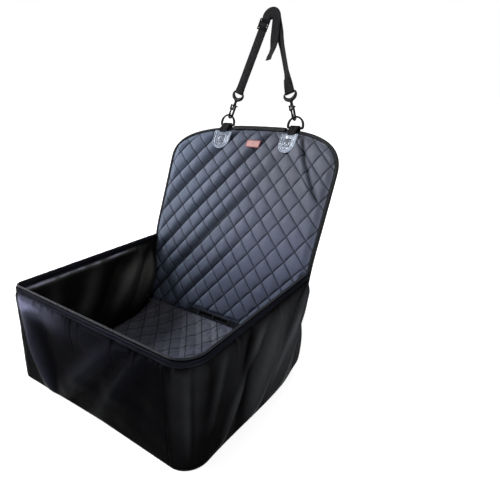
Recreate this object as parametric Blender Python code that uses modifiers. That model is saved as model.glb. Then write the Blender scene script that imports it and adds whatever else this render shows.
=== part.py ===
"""Dog car seat: a sewn tub of boards and cloth, a quilted backrest that folds at the rim, and a strap.

+X is the viewer's right, -Y the front, +Z up. The seat stands on Z = 0. Its pieces are laid out from the
crease between seat and back at Y = 0, and then moved so that the origin is the middle of its footprint.
"""

import math

import bmesh
import bpy
import numpy as np
from mathutils import Matrix, Vector

# Tub, in metres
rim_half_width = 0.260
rim_rear_half_width = 0.245
base_half_width = 0.253
base_rear_half_width = 0.240
rim_reach = 0.328
base_reach = 0.348
rim_height = 0.215
rim_rear_height = 0.200
left_corner_radius = 0.014
right_corner_radius = 0.045
crease_height = 0.020
crease_from_middle = 0.008
base_lift_start = 0.074
base_lift = 0.024
lower_recline = math.radians(19.7)
upper_recline = math.radians(28.4)

# Layers of the walls and the base
touch_gap = 0.0003
soft_gap = 0.0008
board_thickness = 0.003
cloth_thickness = 0.0012
underside_thickness = 0.0015
hem_thickness = 0.0015
hem_depth = 0.018
hem_clear = 0.003
piping_radius = 0.003
board_inset = 0.006
outer_fold_depth = 0.009
lining_fold_depth = 0.010
lining_corner_sag = 0.028
end_share = 0.06
sag_share = 0.40
sag_top_share = 0.80

# Backrest and quilting, u across, v up the panel from the crease and w towards the rear
panel_top = 0.531
panel_corner_start = 0.419
panel_rim_clearance = 0.002
panel_flare = 0.014
panel_corner_power = 2.38
bow_depth = 0.045
bow_rise_power = 1.3
fold_height = 0.2103
fold_fade = 0.012
fold_notch = math.radians(27.0)
diamond_width = 0.052
diamond_height = 0.058
quilt_base = 0.006
quilt_crown = 0.006
quilt_edge_fade = 0.022
binding_radius = 0.0045
binding_fold_gap = 0.0065
top_band_thickness = 0.0022
top_band_half_width = 0.082

# Crease strip and its two belt slots
strip_bottom = 0.0066
strip_top = 0.0297
strip_thickness = 0.004
slot_bottom = 0.0173
slot_height = 0.009
slot_width = 0.044
slot_spacing = 0.050

# Seat pad and base board
seat_rear_gap = 0.0005
seat_side_gap = 0.018
board_under_quilt = 0.002
base_board_rear = 0.082

# D-rings, their tabs and patches
fitting_drift = 0.008
ring_spacing = 0.216
ring_bar_height = 0.0065
ring_inner_width = 0.038
ring_inner_height = 0.022
ring_corner = 0.004
ring_wire_radius = 0.0025
tab_width = 0.031
webbing_thickness = 0.0014
tab_rear_leg = 0.030
patch_width = 0.048
patch_height = 0.049
patch_thickness = 0.0012
patch_drop = 0.0145
patch_inset = 0.0035
label_width = 0.047
label_height = 0.0215
label_thickness = 0.0010
label_drop = 0.039

# Strap and its snap hooks, s along a leg from the ring's bar
strap_lean = math.radians(16.0)
strap_height = 0.308
strap_turn_radius = 0.0165
webbing_width = 0.025
ply_gap = 0.0008
hook_wire_radius = 0.003
hook_play = 0.0009
hook_body_width = 0.009
hook_neck_radius = 0.0042
hook_yoke_low = 0.050
hook_yoke_high = 0.056
hook_neck_top = 0.062
hook_nose_rise = 0.007
stem_radius = 0.002
stem_clearance = 0.0003
stem_head_radius = 0.0030
stem_head_height = 0.0025
eye_wire_radius = 0.002
eye_inner_width = 0.029
eye_corner = 0.003
eye_shape_shares = ((0.35, 0.06), (0.76, 0.42))
eye_low = 0.067
eye_bar = 0.090
gate_thickness = 0.0034
gate_width = 0.0044
pin_radius = 0.0009
pin_clearance = 0.00015
ear_thickness = 0.0014
ear_reach = 0.0075

# Slide buckle on the doubled left leg
buckle_place = 0.266
buckle_side = 0.003
buckle_inner_width = 0.027
buckle_bar = 0.0035
buckle_slot = 0.0085
buckle_thickness = 0.0022

# Twist of the right leg as (share of the leg, angle), and the free tail
leg_twists = ((0.06, 0.30), (0.16, 0.75), (0.34, 0.95), (0.52, 0.90), (0.64, 0.60), (0.76, 0.10))
tail_rise = 0.005
tail_end_height = 0.163
tail_curl = 0.007
tail_curl_drift = 0.003
tail_twist = 1.0

# Mesh fineness, in counts
cells_per_diamond = 4
wall_rows = 8
short_row_share = 0.35
cutter_overrun = 0.010

panel_low_half_width = rim_rear_half_width - panel_rim_clearance
panel_half_width = rim_rear_half_width + panel_flare

collection = bpy.data.collections.new("dog_car_seat")
cutters = bpy.data.collections.new("cutters")
materials = {}

MATERIALS = {
    "black_cloth": ((0.012, 0.013, 0.018), 0.48, 0.0),
    "lining_cloth": ((0.010, 0.010, 0.013), 0.55, 0.0),
    "quilted_cloth": ((0.085, 0.095, 0.135), 0.42, 0.0),
    "non_slip_cloth": ((0.014, 0.014, 0.015), 0.85, 0.0),
    "stiffener_board": ((0.62, 0.62, 0.60), 0.50, 0.0),
    "binding": ((0.010, 0.010, 0.012), 0.50, 0.0),
    "webbing": ((0.016, 0.016, 0.018), 0.62, 0.0),
    "coated_patch": ((0.36, 0.46, 0.58), 0.35, 0.0),
    "label_cloth": ((0.62, 0.31, 0.30), 0.60, 0.0),
    "black_metal": ((0.018, 0.018, 0.020), 0.32, 0.9),
    "spring_steel": ((0.55, 0.55, 0.56), 0.30, 1.0),
    "black_plastic": ((0.014, 0.014, 0.015), 0.40, 0.0),
}


def clear_scene():
    for obj in list(bpy.data.objects):
        bpy.data.objects.remove(obj, do_unlink=True)


def material(name):
    if name not in materials:
        colour, roughness, metallic = MATERIALS[name]
        made = bpy.data.materials.new(name)
        made.use_nodes = True
        shader = made.node_tree.nodes["Principled BSDF"]
        shader.inputs["Base Color"].default_value = (*colour, 1.0)
        shader.inputs["Roughness"].default_value = roughness
        shader.inputs["Metallic"].default_value = metallic
        made.diffuse_color = (*colour, 1.0)
        materials[name] = made
    return materials[name]


def add_object(name, mesh, finish, smooth=True):
    """A mesh as a named piece of the seat, shaded smooth except over sharp edges."""
    obj = bpy.data.objects.new(name, mesh)
    collection.objects.link(obj)
    mesh.materials.clear()
    mesh.materials.append(material(finish))
    if smooth:
        mesh.shade_smooth()
        mesh.set_sharp_from_angle(angle=math.radians(40.0))
    return obj


def as_mesh(obj):
    """The evaluated mesh of an object, which is then removed."""
    graph = bpy.context.evaluated_depsgraph_get()
    mesh = bpy.data.meshes.new_from_object(obj.evaluated_get(graph))
    mesh.name = obj.name
    bpy.data.objects.remove(obj, do_unlink=True)
    return mesh


def sheet(name, place, across, along, thickness, finish):
    """A grid over shares (0..1, 0..1), laid out by place and thickened to a cloth or a board."""
    bm = bmesh.new()
    bmesh.ops.create_grid(bm, x_segments=across, y_segments=along, size=0.5)
    for vert in bm.verts:
        vert.co = place(vert.co.x + 0.5, vert.co.y + 0.5)
    mesh = bpy.data.meshes.new(name)
    bm.to_mesh(mesh)
    bm.free()
    obj = add_object(name, mesh, finish)
    solidify = obj.modifiers.new("thickness", "SOLIDIFY")
    solidify.thickness = thickness
    solidify.offset = 0.0
    solidify.use_even_offset = True
    return obj


def tube(name, points, radius, finish, cyclic=False, resolution=1):
    """A round wire or bead along points."""
    curve = bpy.data.curves.new(name, "CURVE")
    curve.dimensions = "3D"
    curve.bevel_depth = radius
    curve.bevel_resolution = resolution
    curve.use_fill_caps = not cyclic
    spline = curve.splines.new("POLY")
    spline.points.add(len(points) - 1)
    for point, place in zip(spline.points, points):
        point.co = (*place, 1.0)
    spline.use_cyclic_u = cyclic
    curve.materials.append(material(finish))
    obj = bpy.data.objects.new(name, curve)
    collection.objects.link(obj)
    return obj


def outline_mesh(name, points, low, high):
    """A flat outline in X and Y made a closed solid between two heights."""
    curve = bpy.data.curves.new(name, "CURVE")
    curve.dimensions = "2D"
    curve.fill_mode = "BOTH"
    curve.extrude = (high - low) / 2
    spline = curve.splines.new("POLY")
    spline.points.add(len(points) - 1)
    for point, (x, y) in zip(spline.points, points):
        point.co = (x, y, 0.0, 1.0)
    spline.use_cyclic_u = True
    obj = bpy.data.objects.new(name, curve)
    cutters.objects.link(obj)
    mesh = as_mesh(obj)
    bm = bmesh.new()
    bm.from_mesh(mesh)
    bmesh.ops.remove_doubles(bm, verts=bm.verts, dist=1e-6)
    bmesh.ops.translate(bm, verts=bm.verts, vec=(0.0, 0.0, (high + low) / 2))
    bmesh.ops.recalc_face_normals(bm, faces=bm.faces)
    bm.to_mesh(mesh)
    bm.free()
    return mesh


def cutter(name, mesh):
    obj = bpy.data.objects.new(name, mesh)
    cutters.objects.link(obj)
    obj.hide_render = True
    obj.display_type = "WIRE"
    return obj


def combine(obj, other, operation):
    """A Boolean with the EXACT solver, kept live on the object."""
    modifier = obj.modifiers.new(operation.lower(), "BOOLEAN")
    modifier.operation = operation
    modifier.object = other
    modifier.solver = "EXACT"
    return obj


def cylinder_mesh(name, radius, start, end, sides=16):
    """A capped cylinder between two points."""
    start, end = Vector(start), Vector(end)
    span = end - start
    bm = bmesh.new()
    bmesh.ops.create_cone(
        bm, cap_ends=True, segments=sides, radius1=radius, radius2=radius, depth=span.length
    )
    turn = Vector((0, 0, 1)).rotation_difference(span).to_matrix().to_4x4()
    bmesh.ops.transform(bm, matrix=Matrix.Translation((start + end) / 2) @ turn, verts=bm.verts)
    mesh = bpy.data.meshes.new(name)
    bm.to_mesh(mesh)
    bm.free()
    return mesh


def box_mesh(name, low, high):
    """A box between two corners."""
    low, high = Vector(low), Vector(high)
    bm = bmesh.new()
    bmesh.ops.create_cube(bm, size=1.0)
    bmesh.ops.scale(bm, vec=high - low, verts=bm.verts)
    bmesh.ops.translate(bm, vec=(high + low) / 2, verts=bm.verts)
    mesh = bpy.data.meshes.new(name)
    bm.to_mesh(mesh)
    bm.free()
    return mesh


def bevel(obj, width, segments=1):
    modifier = obj.modifiers.new("bevel", "BEVEL")
    modifier.width = width
    modifier.segments = segments
    modifier.limit_method = "ANGLE"
    return obj


def lerp(a, b, share):
    return a + (b - a) * share


def clamp(value, low=0.0, high=1.0):
    return max(low, min(high, value))


def ease(share):
    share = clamp(share)
    return share * share * (3 - 2 * share)


# The tub's shape


def base_curve(y):
    """Height of the base's underside, which lifts in a curve towards the crease."""
    return base_lift * clamp((y + base_lift_start) / base_lift_start) ** 1.6


def panel_place(u, v, w):
    """A point of the backrest, which leans back further above its fold and bows to the rear in its middle."""
    above = max(v - fold_height, 0.0)
    bow = bow_depth * clamp(above / (panel_top - fold_height)) ** bow_rise_power
    back = w + bow * (1 - (u / panel_half_width) ** 2)
    lean = upper_recline if v > fold_height else lower_recline
    low = min(v, fold_height)
    y = low * math.sin(lower_recline) + above * math.sin(upper_recline) + back * math.cos(lean)
    z = low * math.cos(lower_recline) + above * math.cos(upper_recline) - back * math.sin(lean)
    return Vector((u, y, crease_height + z))


def panel_axes(u, v, w):
    """A point of the backrest with the directions up it and to its rear there."""
    point = panel_place(u, v, w)
    up = (point - panel_place(u, v - quilt_base, w)).normalized()
    return point, up, Vector((1.0, 0.0, 0.0)).cross(up) * -1


def wall_rear(z):
    """Where the side walls end at a height, just in front of the panel's binding."""
    binding_front = quilt_base / 2 - binding_radius - touch_gap
    return (z - crease_height) * math.tan(lower_recline) + binding_front / math.cos(lower_recline)


def rim_z(y):
    rear = wall_rear(rim_rear_height)
    return lerp(rim_height, rim_rear_height, (y + rim_reach) / (rear + rim_reach))


corner_radii = {-1: left_corner_radius, 1: right_corner_radius}
wall_bottom = underside_thickness + touch_gap + soft_gap
wall_top_gap = hem_thickness + touch_gap + cloth_thickness / 2


def wall_place(s, share, out):
    """A point on the walls, share of the way from the base to the rim, and out along the wall's normal.

    s is 0 at the left rear end, 1 to 2 round the left front corner, 3 to 4 round the right front corner
    and 5 at the right rear end.
    """
    front_half = lerp(base_half_width, rim_half_width, share)
    rear_half = lerp(base_rear_half_width, rim_rear_half_width, share)
    front = -lerp(base_reach, rim_reach, share)
    rear = wall_rear(lerp(base_lift + wall_bottom, rim_rear_height, share))
    side = 1 if s > 2.5 else -1
    corner_radius = corner_radii[side]
    along = 5 - s if side > 0 else s
    corner_y = front + corner_radius
    if along <= 1:
        x, y = lerp(rear_half, front_half, along), lerp(rear, corner_y, along)
        slope = (front_half - rear_half) / (rear - corner_y)
        normal = Vector((1.0, -slope)).normalized()
    elif along < 2:
        angle = (along - 1) * math.pi / 2
        normal = Vector((math.cos(angle), -math.sin(angle)))
        x = front_half - corner_radius + corner_radius * normal.x
        y = corner_y + corner_radius * normal.y
    else:
        normal = Vector((0.0, -1.0))
        x, y = (front_half - corner_radius) * (5 - 2 * along), front
    x, y = x + normal.x * out, y + normal.y * out
    z = lerp(wall_bottom + base_curve(y), rim_z(y), share)
    return Vector((side * x, y, z))


def hem_share(drop):
    """The share of the wall's height at a drop below the rim."""
    return 1 - drop / rim_height


cloth_out = board_thickness / 2 + touch_gap + cloth_thickness / 2


def hang(share):
    """How freely the cloth hangs at a height: held at the base and under the hem."""
    return math.sin(math.pi * clamp(share / hem_share(hem_depth + hem_clear)))


def outer_folds(s, share):
    """Long soft folds of the outer cloth, which lean as the cloth hangs."""
    if s < 2:
        wave = math.sin(2 * math.pi * (1.6 * s + 0.30 * share)) * 0.6
        wave += math.sin(2 * math.pi * (3.1 * s - 0.40 * share + 0.2)) * 0.4
    elif s < 3:
        wave = math.sin(2 * math.pi * (2.6 * s - 0.55 * share + 0.15)) * 0.65
        wave += math.sin(2 * math.pi * (5.2 * s + 0.20 * share)) * 0.35
    else:
        wave = math.sin(2 * math.pi * (2.3 * s - 0.60 * share + 0.4)) * 0.6
        wave += math.sin(2 * math.pi * (4.7 * s - 0.90 * share)) * 0.4
    end = ease(min(s, 5 - s) / end_share)
    return outer_fold_depth * hang(share) ** 0.7 * (0.5 + 0.5 * wave) * end


def lining_folds(s, share):
    """Folds of the lining, with the slack that sags inwards low in the rear corners."""
    along = min(s, 5 - s)
    wave = math.sin(2 * math.pi * (2.0 * s + 0.8 * share)) * 0.6
    wave += math.sin(2 * math.pi * (3.7 * s - 0.5 * share + 0.3)) * 0.4
    sag = 1 - ease((along - end_share) / sag_share)
    sag *= math.sin(math.pi * clamp(share / sag_top_share)) ** 1.2
    folds = lining_fold_depth * hang(share) * (0.5 + 0.5 * wave) + lining_corner_sag * sag
    return folds * ease(along / end_share)


# The seat's cloth and boards


def wall_share(row):
    """Height share of a cloth layer's row: even up to the hem's lower edge, then its top edge in the hem."""
    if row > wall_rows - 1.5:
        return hem_share(wall_top_gap)
    return hem_share(hem_depth + hem_clear) * row / (wall_rows - 2)


def cloth_place(s, b, way, folds):
    """A point of a cloth layer, outside the boards (way 1) or inside them (way -1)."""
    share = wall_share(round(b * (wall_rows - 1)))
    return wall_place(s, share, way * (cloth_out + folds(s, share)))


def build_walls():
    spans = {"left_wall": (0, 2, 20), "front_wall": (2, 3, 18), "right_wall": (3, 5, 20)}
    for name, (start, end, columns) in spans.items():
        seam = soft_gap / rim_half_width
        first = start + (seam if start in (2, 3) else 0)
        last = end - (seam if end in (2, 3) else 0)
        sheet(
            name + "_outer",
            lambda a, b, f=first, g=last: cloth_place(lerp(f, g, a), b, 1, outer_folds),
            columns, wall_rows - 1, cloth_thickness, "black_cloth",
        )
        sheet(
            name + "_lining",
            lambda a, b, f=first, g=last: cloth_place(lerp(f, g, a), b, -1, lining_folds),
            columns, wall_rows - 1, cloth_thickness, "lining_cloth",
        )
    inset = board_inset / rim_reach
    low = board_inset / rim_height
    for name, start in (("left_wall_board", 0), ("front_wall_board", 2), ("right_wall_board", 4)):
        sheet(
            name,
            lambda a, b, s=start: wall_place(
                s + lerp(inset, 1 - inset, a), lerp(low, hem_share(wall_top_gap + board_thickness), b), 0.0
            ),
            6, 4, board_thickness, "stiffener_board",
        )


def build_rim():
    leg = cloth_out + cloth_thickness / 2 + touch_gap + hem_thickness / 2
    crest = hem_thickness / 2
    section = [(leg, hem_depth), (leg, hem_depth / 2), (leg, crest), (leg / 2, 0.0)]
    section += [(-out, drop) for out, drop in reversed(section)]
    turn = [step / 10 for step in range(11)]
    stations = [0, 0.5] + [1 + step for step in turn] + [2.5] + [3 + step for step in turn] + [4.5, 5]

    def hem_place(a, b):
        s = stations[round(a * (len(stations) - 1))]
        out, drop = section[round(b * (len(section) - 1))]
        return wall_place(s, hem_share(drop), out)

    sheet("rim_hem", hem_place, len(stations) - 1, len(section) - 1, hem_thickness, "black_cloth")
    rise = hem_thickness / 2 + touch_gap + piping_radius
    path = []
    for s in np.concatenate([[0, 0.5], np.linspace(1, 2, 7), [2.5], np.linspace(3, 4, 7), [4.5, 5]]):
        path.append(wall_place(float(s), 1.0, 0.0) + Vector((0, 0, rise)))
    tube("rim_piping", path, piping_radius, "binding")


def base_outline_half(side, y):
    """Half the base's width at y on one side: a straight side that meets the rounded front corner."""
    radius = corner_radii[side]
    corner_y = radius - base_reach
    if y >= corner_y:
        return lerp(base_half_width, base_rear_half_width, (y - corner_y) / -corner_y)
    step = min(corner_y - y, radius)
    return base_half_width - radius + math.sqrt(radius**2 - step**2)


def base_sheet(name, inset, rear, lift, thickness, finish, columns):
    """A layer of the base: inset from the walls' outside, ending at rear, lift above the underside."""
    front = -base_reach + inset
    stations = [front]
    for radius in sorted(corner_radii.values()):
        for k in range(1, 7):
            y = front + radius * (1 - math.cos(math.radians(15 * k)))
            if y > stations[-1]:
                stations.append(y)
    if rear > -base_lift_start:
        stations += [-base_lift_start * (1 - share) for share in (0, 0.25, 0.5, 0.75, 1)]
    else:
        stations.append(rear)

    def place(a, b):
        y = stations[round(b * (len(stations) - 1))]
        side = -1 if a < 0.5 else 1
        near = y < front + corner_radii[side]
        half = base_outline_half(side, y - inset if near else y) - inset
        return Vector(((2 * a - 1) * half, y, lift + base_curve(y) + thickness / 2))

    return sheet(name, place, columns, len(stations) - 1, thickness, finish)


def build_base():
    outside = cloth_out + cloth_thickness
    base_sheet("base_underside", -outside, 0.0, 0.0, underside_thickness, "non_slip_cloth", 6)
    inset = seat_side_gap + board_under_quilt
    lift = underside_thickness + touch_gap
    base_sheet("base_board", inset, -base_board_rear, lift, board_thickness, "stiffener_board", 4)


# Quilting


def quilt_puff(u, v):
    """Height of the padding over the stitches, 0 on a stitch line and 1 in a diamond's middle."""
    p = u / diamond_width + v / diamond_height
    q = u / diamond_width - v / diamond_height
    return math.sqrt(abs(math.sin(math.pi * p) * math.sin(math.pi * q)))


def quilt_mesh(name, half_width, v_low, v_high, fade, coarse, notch_low=0.0, notch_high=0.0):
    """A quilted blank in u, v, w: diamonds on the front, and a plain back on every coarse-th line."""
    step_u, step_v = diamond_width / cells_per_diamond, diamond_height / cells_per_diamond
    columns = 2 * math.ceil(half_width / step_u)
    first_row = math.floor(v_low / step_v + short_row_share)
    rows = math.ceil(v_high / step_v - short_row_share) - first_row
    bm = bmesh.new()
    bmesh.ops.create_grid(bm, x_segments=columns, y_segments=rows, size=0.5)
    lattice = {}
    for vert in bm.verts:
        i = round((vert.co.x + 0.5) * columns) - columns // 2
        j = round((vert.co.y + 0.5) * rows) + first_row
        lattice[vert] = (i, j)
        u = clamp(i * step_u, -half_width, half_width)
        v = {first_row: v_low, first_row + rows: v_high}.get(j, j * step_v)
        vert.co = (u, v, -quilt_crown * quilt_puff(i * step_u, j * step_v) * fade(u, v))
    front = list(bm.faces)
    for face in list(front):
        corners = {lattice[vert]: vert for vert in face.verts}
        i, j = min(corners)
        if (i + 1 + j) % cells_per_diamond == 0:
            ends = (corners[(i + 1, j)], corners[(i, j + 1)])
        else:
            ends = (corners[(i, j)], corners[(i + 1, j + 1)])
        bmesh.utils.face_split(face, *ends)
    front = list(bm.faces)
    back = bmesh.ops.extrude_face_region(bm, geom=front)
    back_verts = [item for item in back["geom"] if isinstance(item, bmesh.types.BMVert)]
    back_of = {}
    for vert in back_verts:
        i, j = round(vert.co.x / step_u), round(vert.co.y / step_v)
        edge_u = abs(abs(vert.co.x) - half_width) < 1e-6
        edge_low, edge_high = abs(vert.co.y - v_low) < 1e-6, abs(vert.co.y - v_high) < 1e-6
        back_of[vert] = (
            edge_u or i % coarse[0] == 0,
            edge_low or edge_high or j % coarse[1] == 0,
        )
        vert.co.z = quilt_base
        if edge_low:
            vert.co.y += quilt_base * math.tan(notch_low)
        if edge_high:
            vert.co.y -= quilt_base * math.tan(notch_high)
    idle = []
    for edge in bm.edges:
        if edge.verts[0] not in back_of or edge.verts[1] not in back_of:
            continue
        first, second = back_of[edge.verts[0]], back_of[edge.verts[1]]
        if not ((first[0] and second[0]) or (first[1] and second[1])):
            idle.append(edge)
            continue
        same_u = abs(edge.verts[0].co.x - edge.verts[1].co.x) < 1e-6
        same_v = abs(edge.verts[0].co.y - edge.verts[1].co.y) < 1e-6
        if (same_u and not first[0]) or (same_v and not first[1]) or not (same_u or same_v):
            idle.append(edge)
    bmesh.ops.dissolve_edges(bm, edges=idle, use_verts=True, use_face_split=False)
    bmesh.ops.recalc_face_normals(bm, faces=bm.faces)
    mesh = bpy.data.meshes.new(name)
    bm.to_mesh(mesh)
    bm.free()
    return mesh


def bend_to_panel(mesh):
    """Lays a mesh in u, v, w on the panel. The mapping mirrors it, so its faces are turned back."""
    for vert in mesh.vertices:
        vert.co = panel_place(*vert.co)
    mesh.flip_normals()
    return mesh


quilt_inset = 2 * binding_radius + touch_gap


def panel_half(v):
    return lerp(panel_low_half_width, panel_half_width, clamp(v / panel_corner_start))


def panel_top_at(u, inset=0.0):
    """The panel's top edge at u, a superellipse over the corner start."""
    share = clamp(abs(u) / (panel_half_width - inset)) ** panel_corner_power
    return lerp(panel_corner_start, panel_top - inset, (1 - share) ** (1 / panel_corner_power))


def panel_outline(inset, v_low, turns=32):
    """Points up the right side of the panel, round its top and down the left side."""
    sides = [v_low + (panel_corner_start - v_low) * share for share in (0, 0.25, 0.5, 0.75)]
    right = [(panel_half(v) - inset, v) for v in sides]
    top = []
    for k in range(turns + 1):
        angle = math.pi * k / turns
        c, s = math.cos(angle), math.sin(angle)
        power = 2 / panel_corner_power
        u = (panel_half_width - inset) * math.copysign(abs(c) ** power, c)
        top.append((u, lerp(panel_corner_start, panel_top - inset, abs(s) ** power)))
    left = [(-u, v) for u, v in reversed(right)]
    return right + top + left


def panel_fade(u, v):
    """The padding thins towards the binding, the crease and the fold."""
    side = (panel_half(v) - quilt_inset - abs(u)) / quilt_edge_fade
    top = (panel_top_at(u) - quilt_inset - v) / quilt_edge_fade
    low = (v - strip_bottom) / quilt_edge_fade
    return ease(min(side, top, low)) * ease(abs(v - fold_height) / fold_fade)


def cut_to_outline(name, mesh, outline):
    """The part of a flat blank inside an outline, laid on the panel."""
    blank = bpy.data.objects.new(name + "_blank", mesh)
    cutters.objects.link(blank)
    deep = quilt_crown + quilt_base
    prism = cutter(name + "_outline", outline_mesh(name + "_outline", outline, -deep, deep))
    combine(blank, prism, "INTERSECT")
    return as_mesh(blank)


def build_upper_back():
    low = fold_height + touch_gap
    name = "upper_back_quilt"
    blank = quilt_mesh(name, panel_half_width, low, panel_top, panel_fade, (2, 4), notch_low=fold_notch)
    outline = panel_outline(quilt_inset, low - cutter_overrun)
    add_object(name, bend_to_panel(cut_to_outline(name, blank, outline)), "quilted_cloth")

    name = "upper_back_cloth"
    rear = quilt_base + soft_gap
    cloth_low = low + (rear + cloth_thickness) * math.tan(fold_notch)
    blank = grid_between(name, panel_half_width, cloth_low, panel_top, (20, 6), rear)
    outline = panel_outline(quilt_inset, cloth_low - cutter_overrun)
    add_object(name, bend_to_panel(cut_to_outline(name, blank, outline)), "non_slip_cloth")

    edge = panel_outline(binding_radius, fold_height + binding_fold_gap)
    path = [panel_place(u, v, quilt_base / 2) for u, v in edge]
    tube("upper_back_binding", path, binding_radius, "binding")


def grid_between(name, half_width, v_low, v_high, counts, w_front):
    """A flat cloth layer in u, v, w with lines to bend along."""
    bm = bmesh.new()
    bmesh.ops.create_grid(bm, x_segments=counts[0], y_segments=counts[1], size=0.5)
    for vert in bm.verts:
        u = lerp(-half_width, half_width, vert.co.x + 0.5)
        vert.co = (u, lerp(v_low, v_high, vert.co.y + 0.5), w_front)
    back = bmesh.ops.extrude_face_region(bm, geom=list(bm.faces))
    moved = [item for item in back["geom"] if isinstance(item, bmesh.types.BMVert)]
    bmesh.ops.translate(bm, verts=moved, vec=(0.0, 0.0, cloth_thickness))
    bmesh.ops.recalc_face_normals(bm, faces=bm.faces)
    mesh = bpy.data.meshes.new(name)
    bm.to_mesh(mesh)
    bm.free()
    return mesh


def build_lower_back():
    low, high = strip_top + touch_gap, fold_height - touch_gap
    sides = [(panel_half(v) - quilt_inset, v) for v in (low - cutter_overrun, high + cutter_overrun)]
    outline = sides + [(-u, v) for u, v in reversed(sides)]
    name = "lower_back_quilt"
    half = panel_half(high)
    blank = quilt_mesh(name, half, low, high, panel_fade, (99, 99), notch_high=fold_notch)
    add_object(name, bend_to_panel(cut_to_outline(name, blank, outline)), "quilted_cloth")

    name = "lower_back_cloth"
    rear = quilt_base + touch_gap
    cloth_high = high - (rear + cloth_thickness) * math.tan(fold_notch)
    blank = grid_between(name, half, low, cloth_high, (1, 1), rear)
    add_object(name, bend_to_panel(cut_to_outline(name, blank, outline)), "non_slip_cloth")

    for side, name in ((-1, "lower_binding_left"), (1, "lower_binding_right")):
        path = []
        for v in (strip_bottom, fold_height / 2, fold_height - binding_fold_gap):
            path.append(panel_place(side * (panel_half(v) - binding_radius), v, quilt_base / 2))
        tube(name, path, binding_radius, "binding")


def build_seat():
    rear = -seat_rear_gap
    front = -base_reach + seat_side_gap
    half = base_rear_half_width - seat_side_gap

    def fade(u, v):
        edge = min(half - abs(u), v, rear - front - v)
        return ease(edge / quilt_edge_fade)

    length = rear - front
    mesh = quilt_mesh("seat_quilt", half, 0.0, length, fade, (6, 2))
    blank = bpy.data.objects.new("seat_blank", mesh)
    cutters.objects.link(blank)
    outline = [(half, length + cutter_overrun), (-half, length + cutter_overrun)]
    for side in (-1, 1):
        turn = []
        for k in range(9):
            angle = k * math.pi / 16
            x = half - right_corner_radius * (1 - math.cos(angle))
            turn.append((side * x, right_corner_radius * (1 - math.sin(angle))))
        outline += turn if side < 0 else reversed(turn)
    prism = outline_mesh("seat_outline", outline, -2 * quilt_crown, 2 * quilt_base)
    combine(blank, cutter("seat_outline", prism), "INTERSECT")
    flat = as_mesh(blank)
    lift = underside_thickness + touch_gap + board_thickness + touch_gap
    for vert in flat.vertices:
        u, v, w = vert.co
        y = front + v
        vert.co = (u, y, lift + base_curve(y) + quilt_base - w)
    flat.flip_normals()
    add_object("seat_quilt", flat, "quilted_cloth")


def build_crease():
    """The bound strip that joins the seat to the back, with a belt slot each side of its middle."""
    half = panel_half(strip_top) - quilt_inset
    low, high = (-half, strip_bottom, -strip_thickness / 2), (half, strip_top, strip_thickness / 2)
    mesh = box_mesh("crease_strip", low, high)
    blank = bpy.data.objects.new("crease_blank", mesh)
    cutters.objects.link(blank)
    for side in (-1, 1):
        middle = side * slot_spacing / 2
        slot = box_mesh(
            f"belt_slot_{side}",
            (middle - slot_width / 2, slot_bottom, -cutter_overrun),
            (middle + slot_width / 2, slot_bottom + slot_height, cutter_overrun),
        )
        combine(blank, cutter(f"belt_slot_{side}", slot), "DIFFERENCE")
    add_object("crease_strip", bend_to_panel(as_mesh(blank)), "binding", smooth=False)


# Fittings on the backrest's front and top

front_face = -quilt_crown - touch_gap
ring_u = ring_spacing / 2


def fitting_x(offset):
    """The rings, patches and label are sewn a little left of the middle."""
    return offset - fitting_drift


def patch_top(side):
    return panel_top_at(fitting_x(side * (ring_u - patch_inset))) - patch_drop


def panel_patch(name, points, thickness, finish):
    """A flat patch that lies over the quilt's crowns."""
    mesh = outline_mesh(name, points, front_face - thickness, front_face)
    return add_object(name, bend_to_panel(mesh), finish, smooth=False)


def build_patches():
    for side, name in ((-1, "ring_patch_left"), (1, "ring_patch_right")):
        middle = fitting_x(side * (ring_u - patch_inset))
        high = patch_top(side)
        radius = patch_width / 2
        points = [(middle + radius, high), (middle - radius, high)]
        for k in range(9):
            angle = math.pi * (1 + k / 8)
            low = high - patch_height + radius
            points.append((middle + radius * math.cos(angle), low + radius * math.sin(angle)))
        panel_patch(name, points, patch_thickness, "coated_patch")
    left, right = fitting_x(-label_width / 2), fitting_x(label_width / 2)
    high = panel_top - label_drop
    low = high - label_height
    corners = [(right, high), (left, high), (left, low), (right, low)]
    panel_patch("label_patch", corners, label_thickness, "label_cloth")


def build_top_band():
    """A stiffer band that caps the binding between the rings."""
    rise = binding_radius + soft_gap + top_band_thickness / 2
    turn = [math.pi * k / 8 for k in range(9)]
    section = [(-rise * math.cos(angle), rise * math.sin(angle)) for angle in turn]
    section = [(-rise, -binding_radius)] + section + [(rise, -binding_radius)]

    def place(a, b):
        u = fitting_x(lerp(-top_band_half_width, top_band_half_width, a))
        behind, above = section[round(b * (len(section) - 1))]
        point, up, rear = panel_axes(u, panel_top_at(u, binding_radius), quilt_base / 2)
        return point + rear * behind + up * above

    sheet("top_band", place, 10, len(section) - 1, top_band_thickness, "binding")


# The strap's plane leans back from the line of the rings' bars

bar_point = panel_place(ring_u, panel_top_at(ring_u) + ring_bar_height, quilt_base / 2)
strap_up = Vector((0.0, math.sin(strap_lean), math.cos(strap_lean)))
strap_back = Vector((0.0, math.cos(strap_lean), -math.sin(strap_lean)))
arc_radius = ring_inner_width / 2 + ring_wire_radius
arc_centre = ring_inner_height + ring_wire_radius * 2 - arc_radius
grip_length = arc_centre + arc_radius
hook_bend = ring_wire_radius + hook_play + hook_wire_radius


def strap_place(x, height, back=0.0):
    """A point of the strap's plane: x across, height above the rings' bars, back towards the rear."""
    return Vector((x, bar_point.y, bar_point.z)) + strap_up * height + strap_back * back


def side_name(side):
    return "left" if side < 0 else "right"


leg_angle = math.atan2(ring_u, strap_height - arc_centre)
leg_length = arc_centre + math.hypot(ring_u, strap_height - arc_centre)


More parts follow.
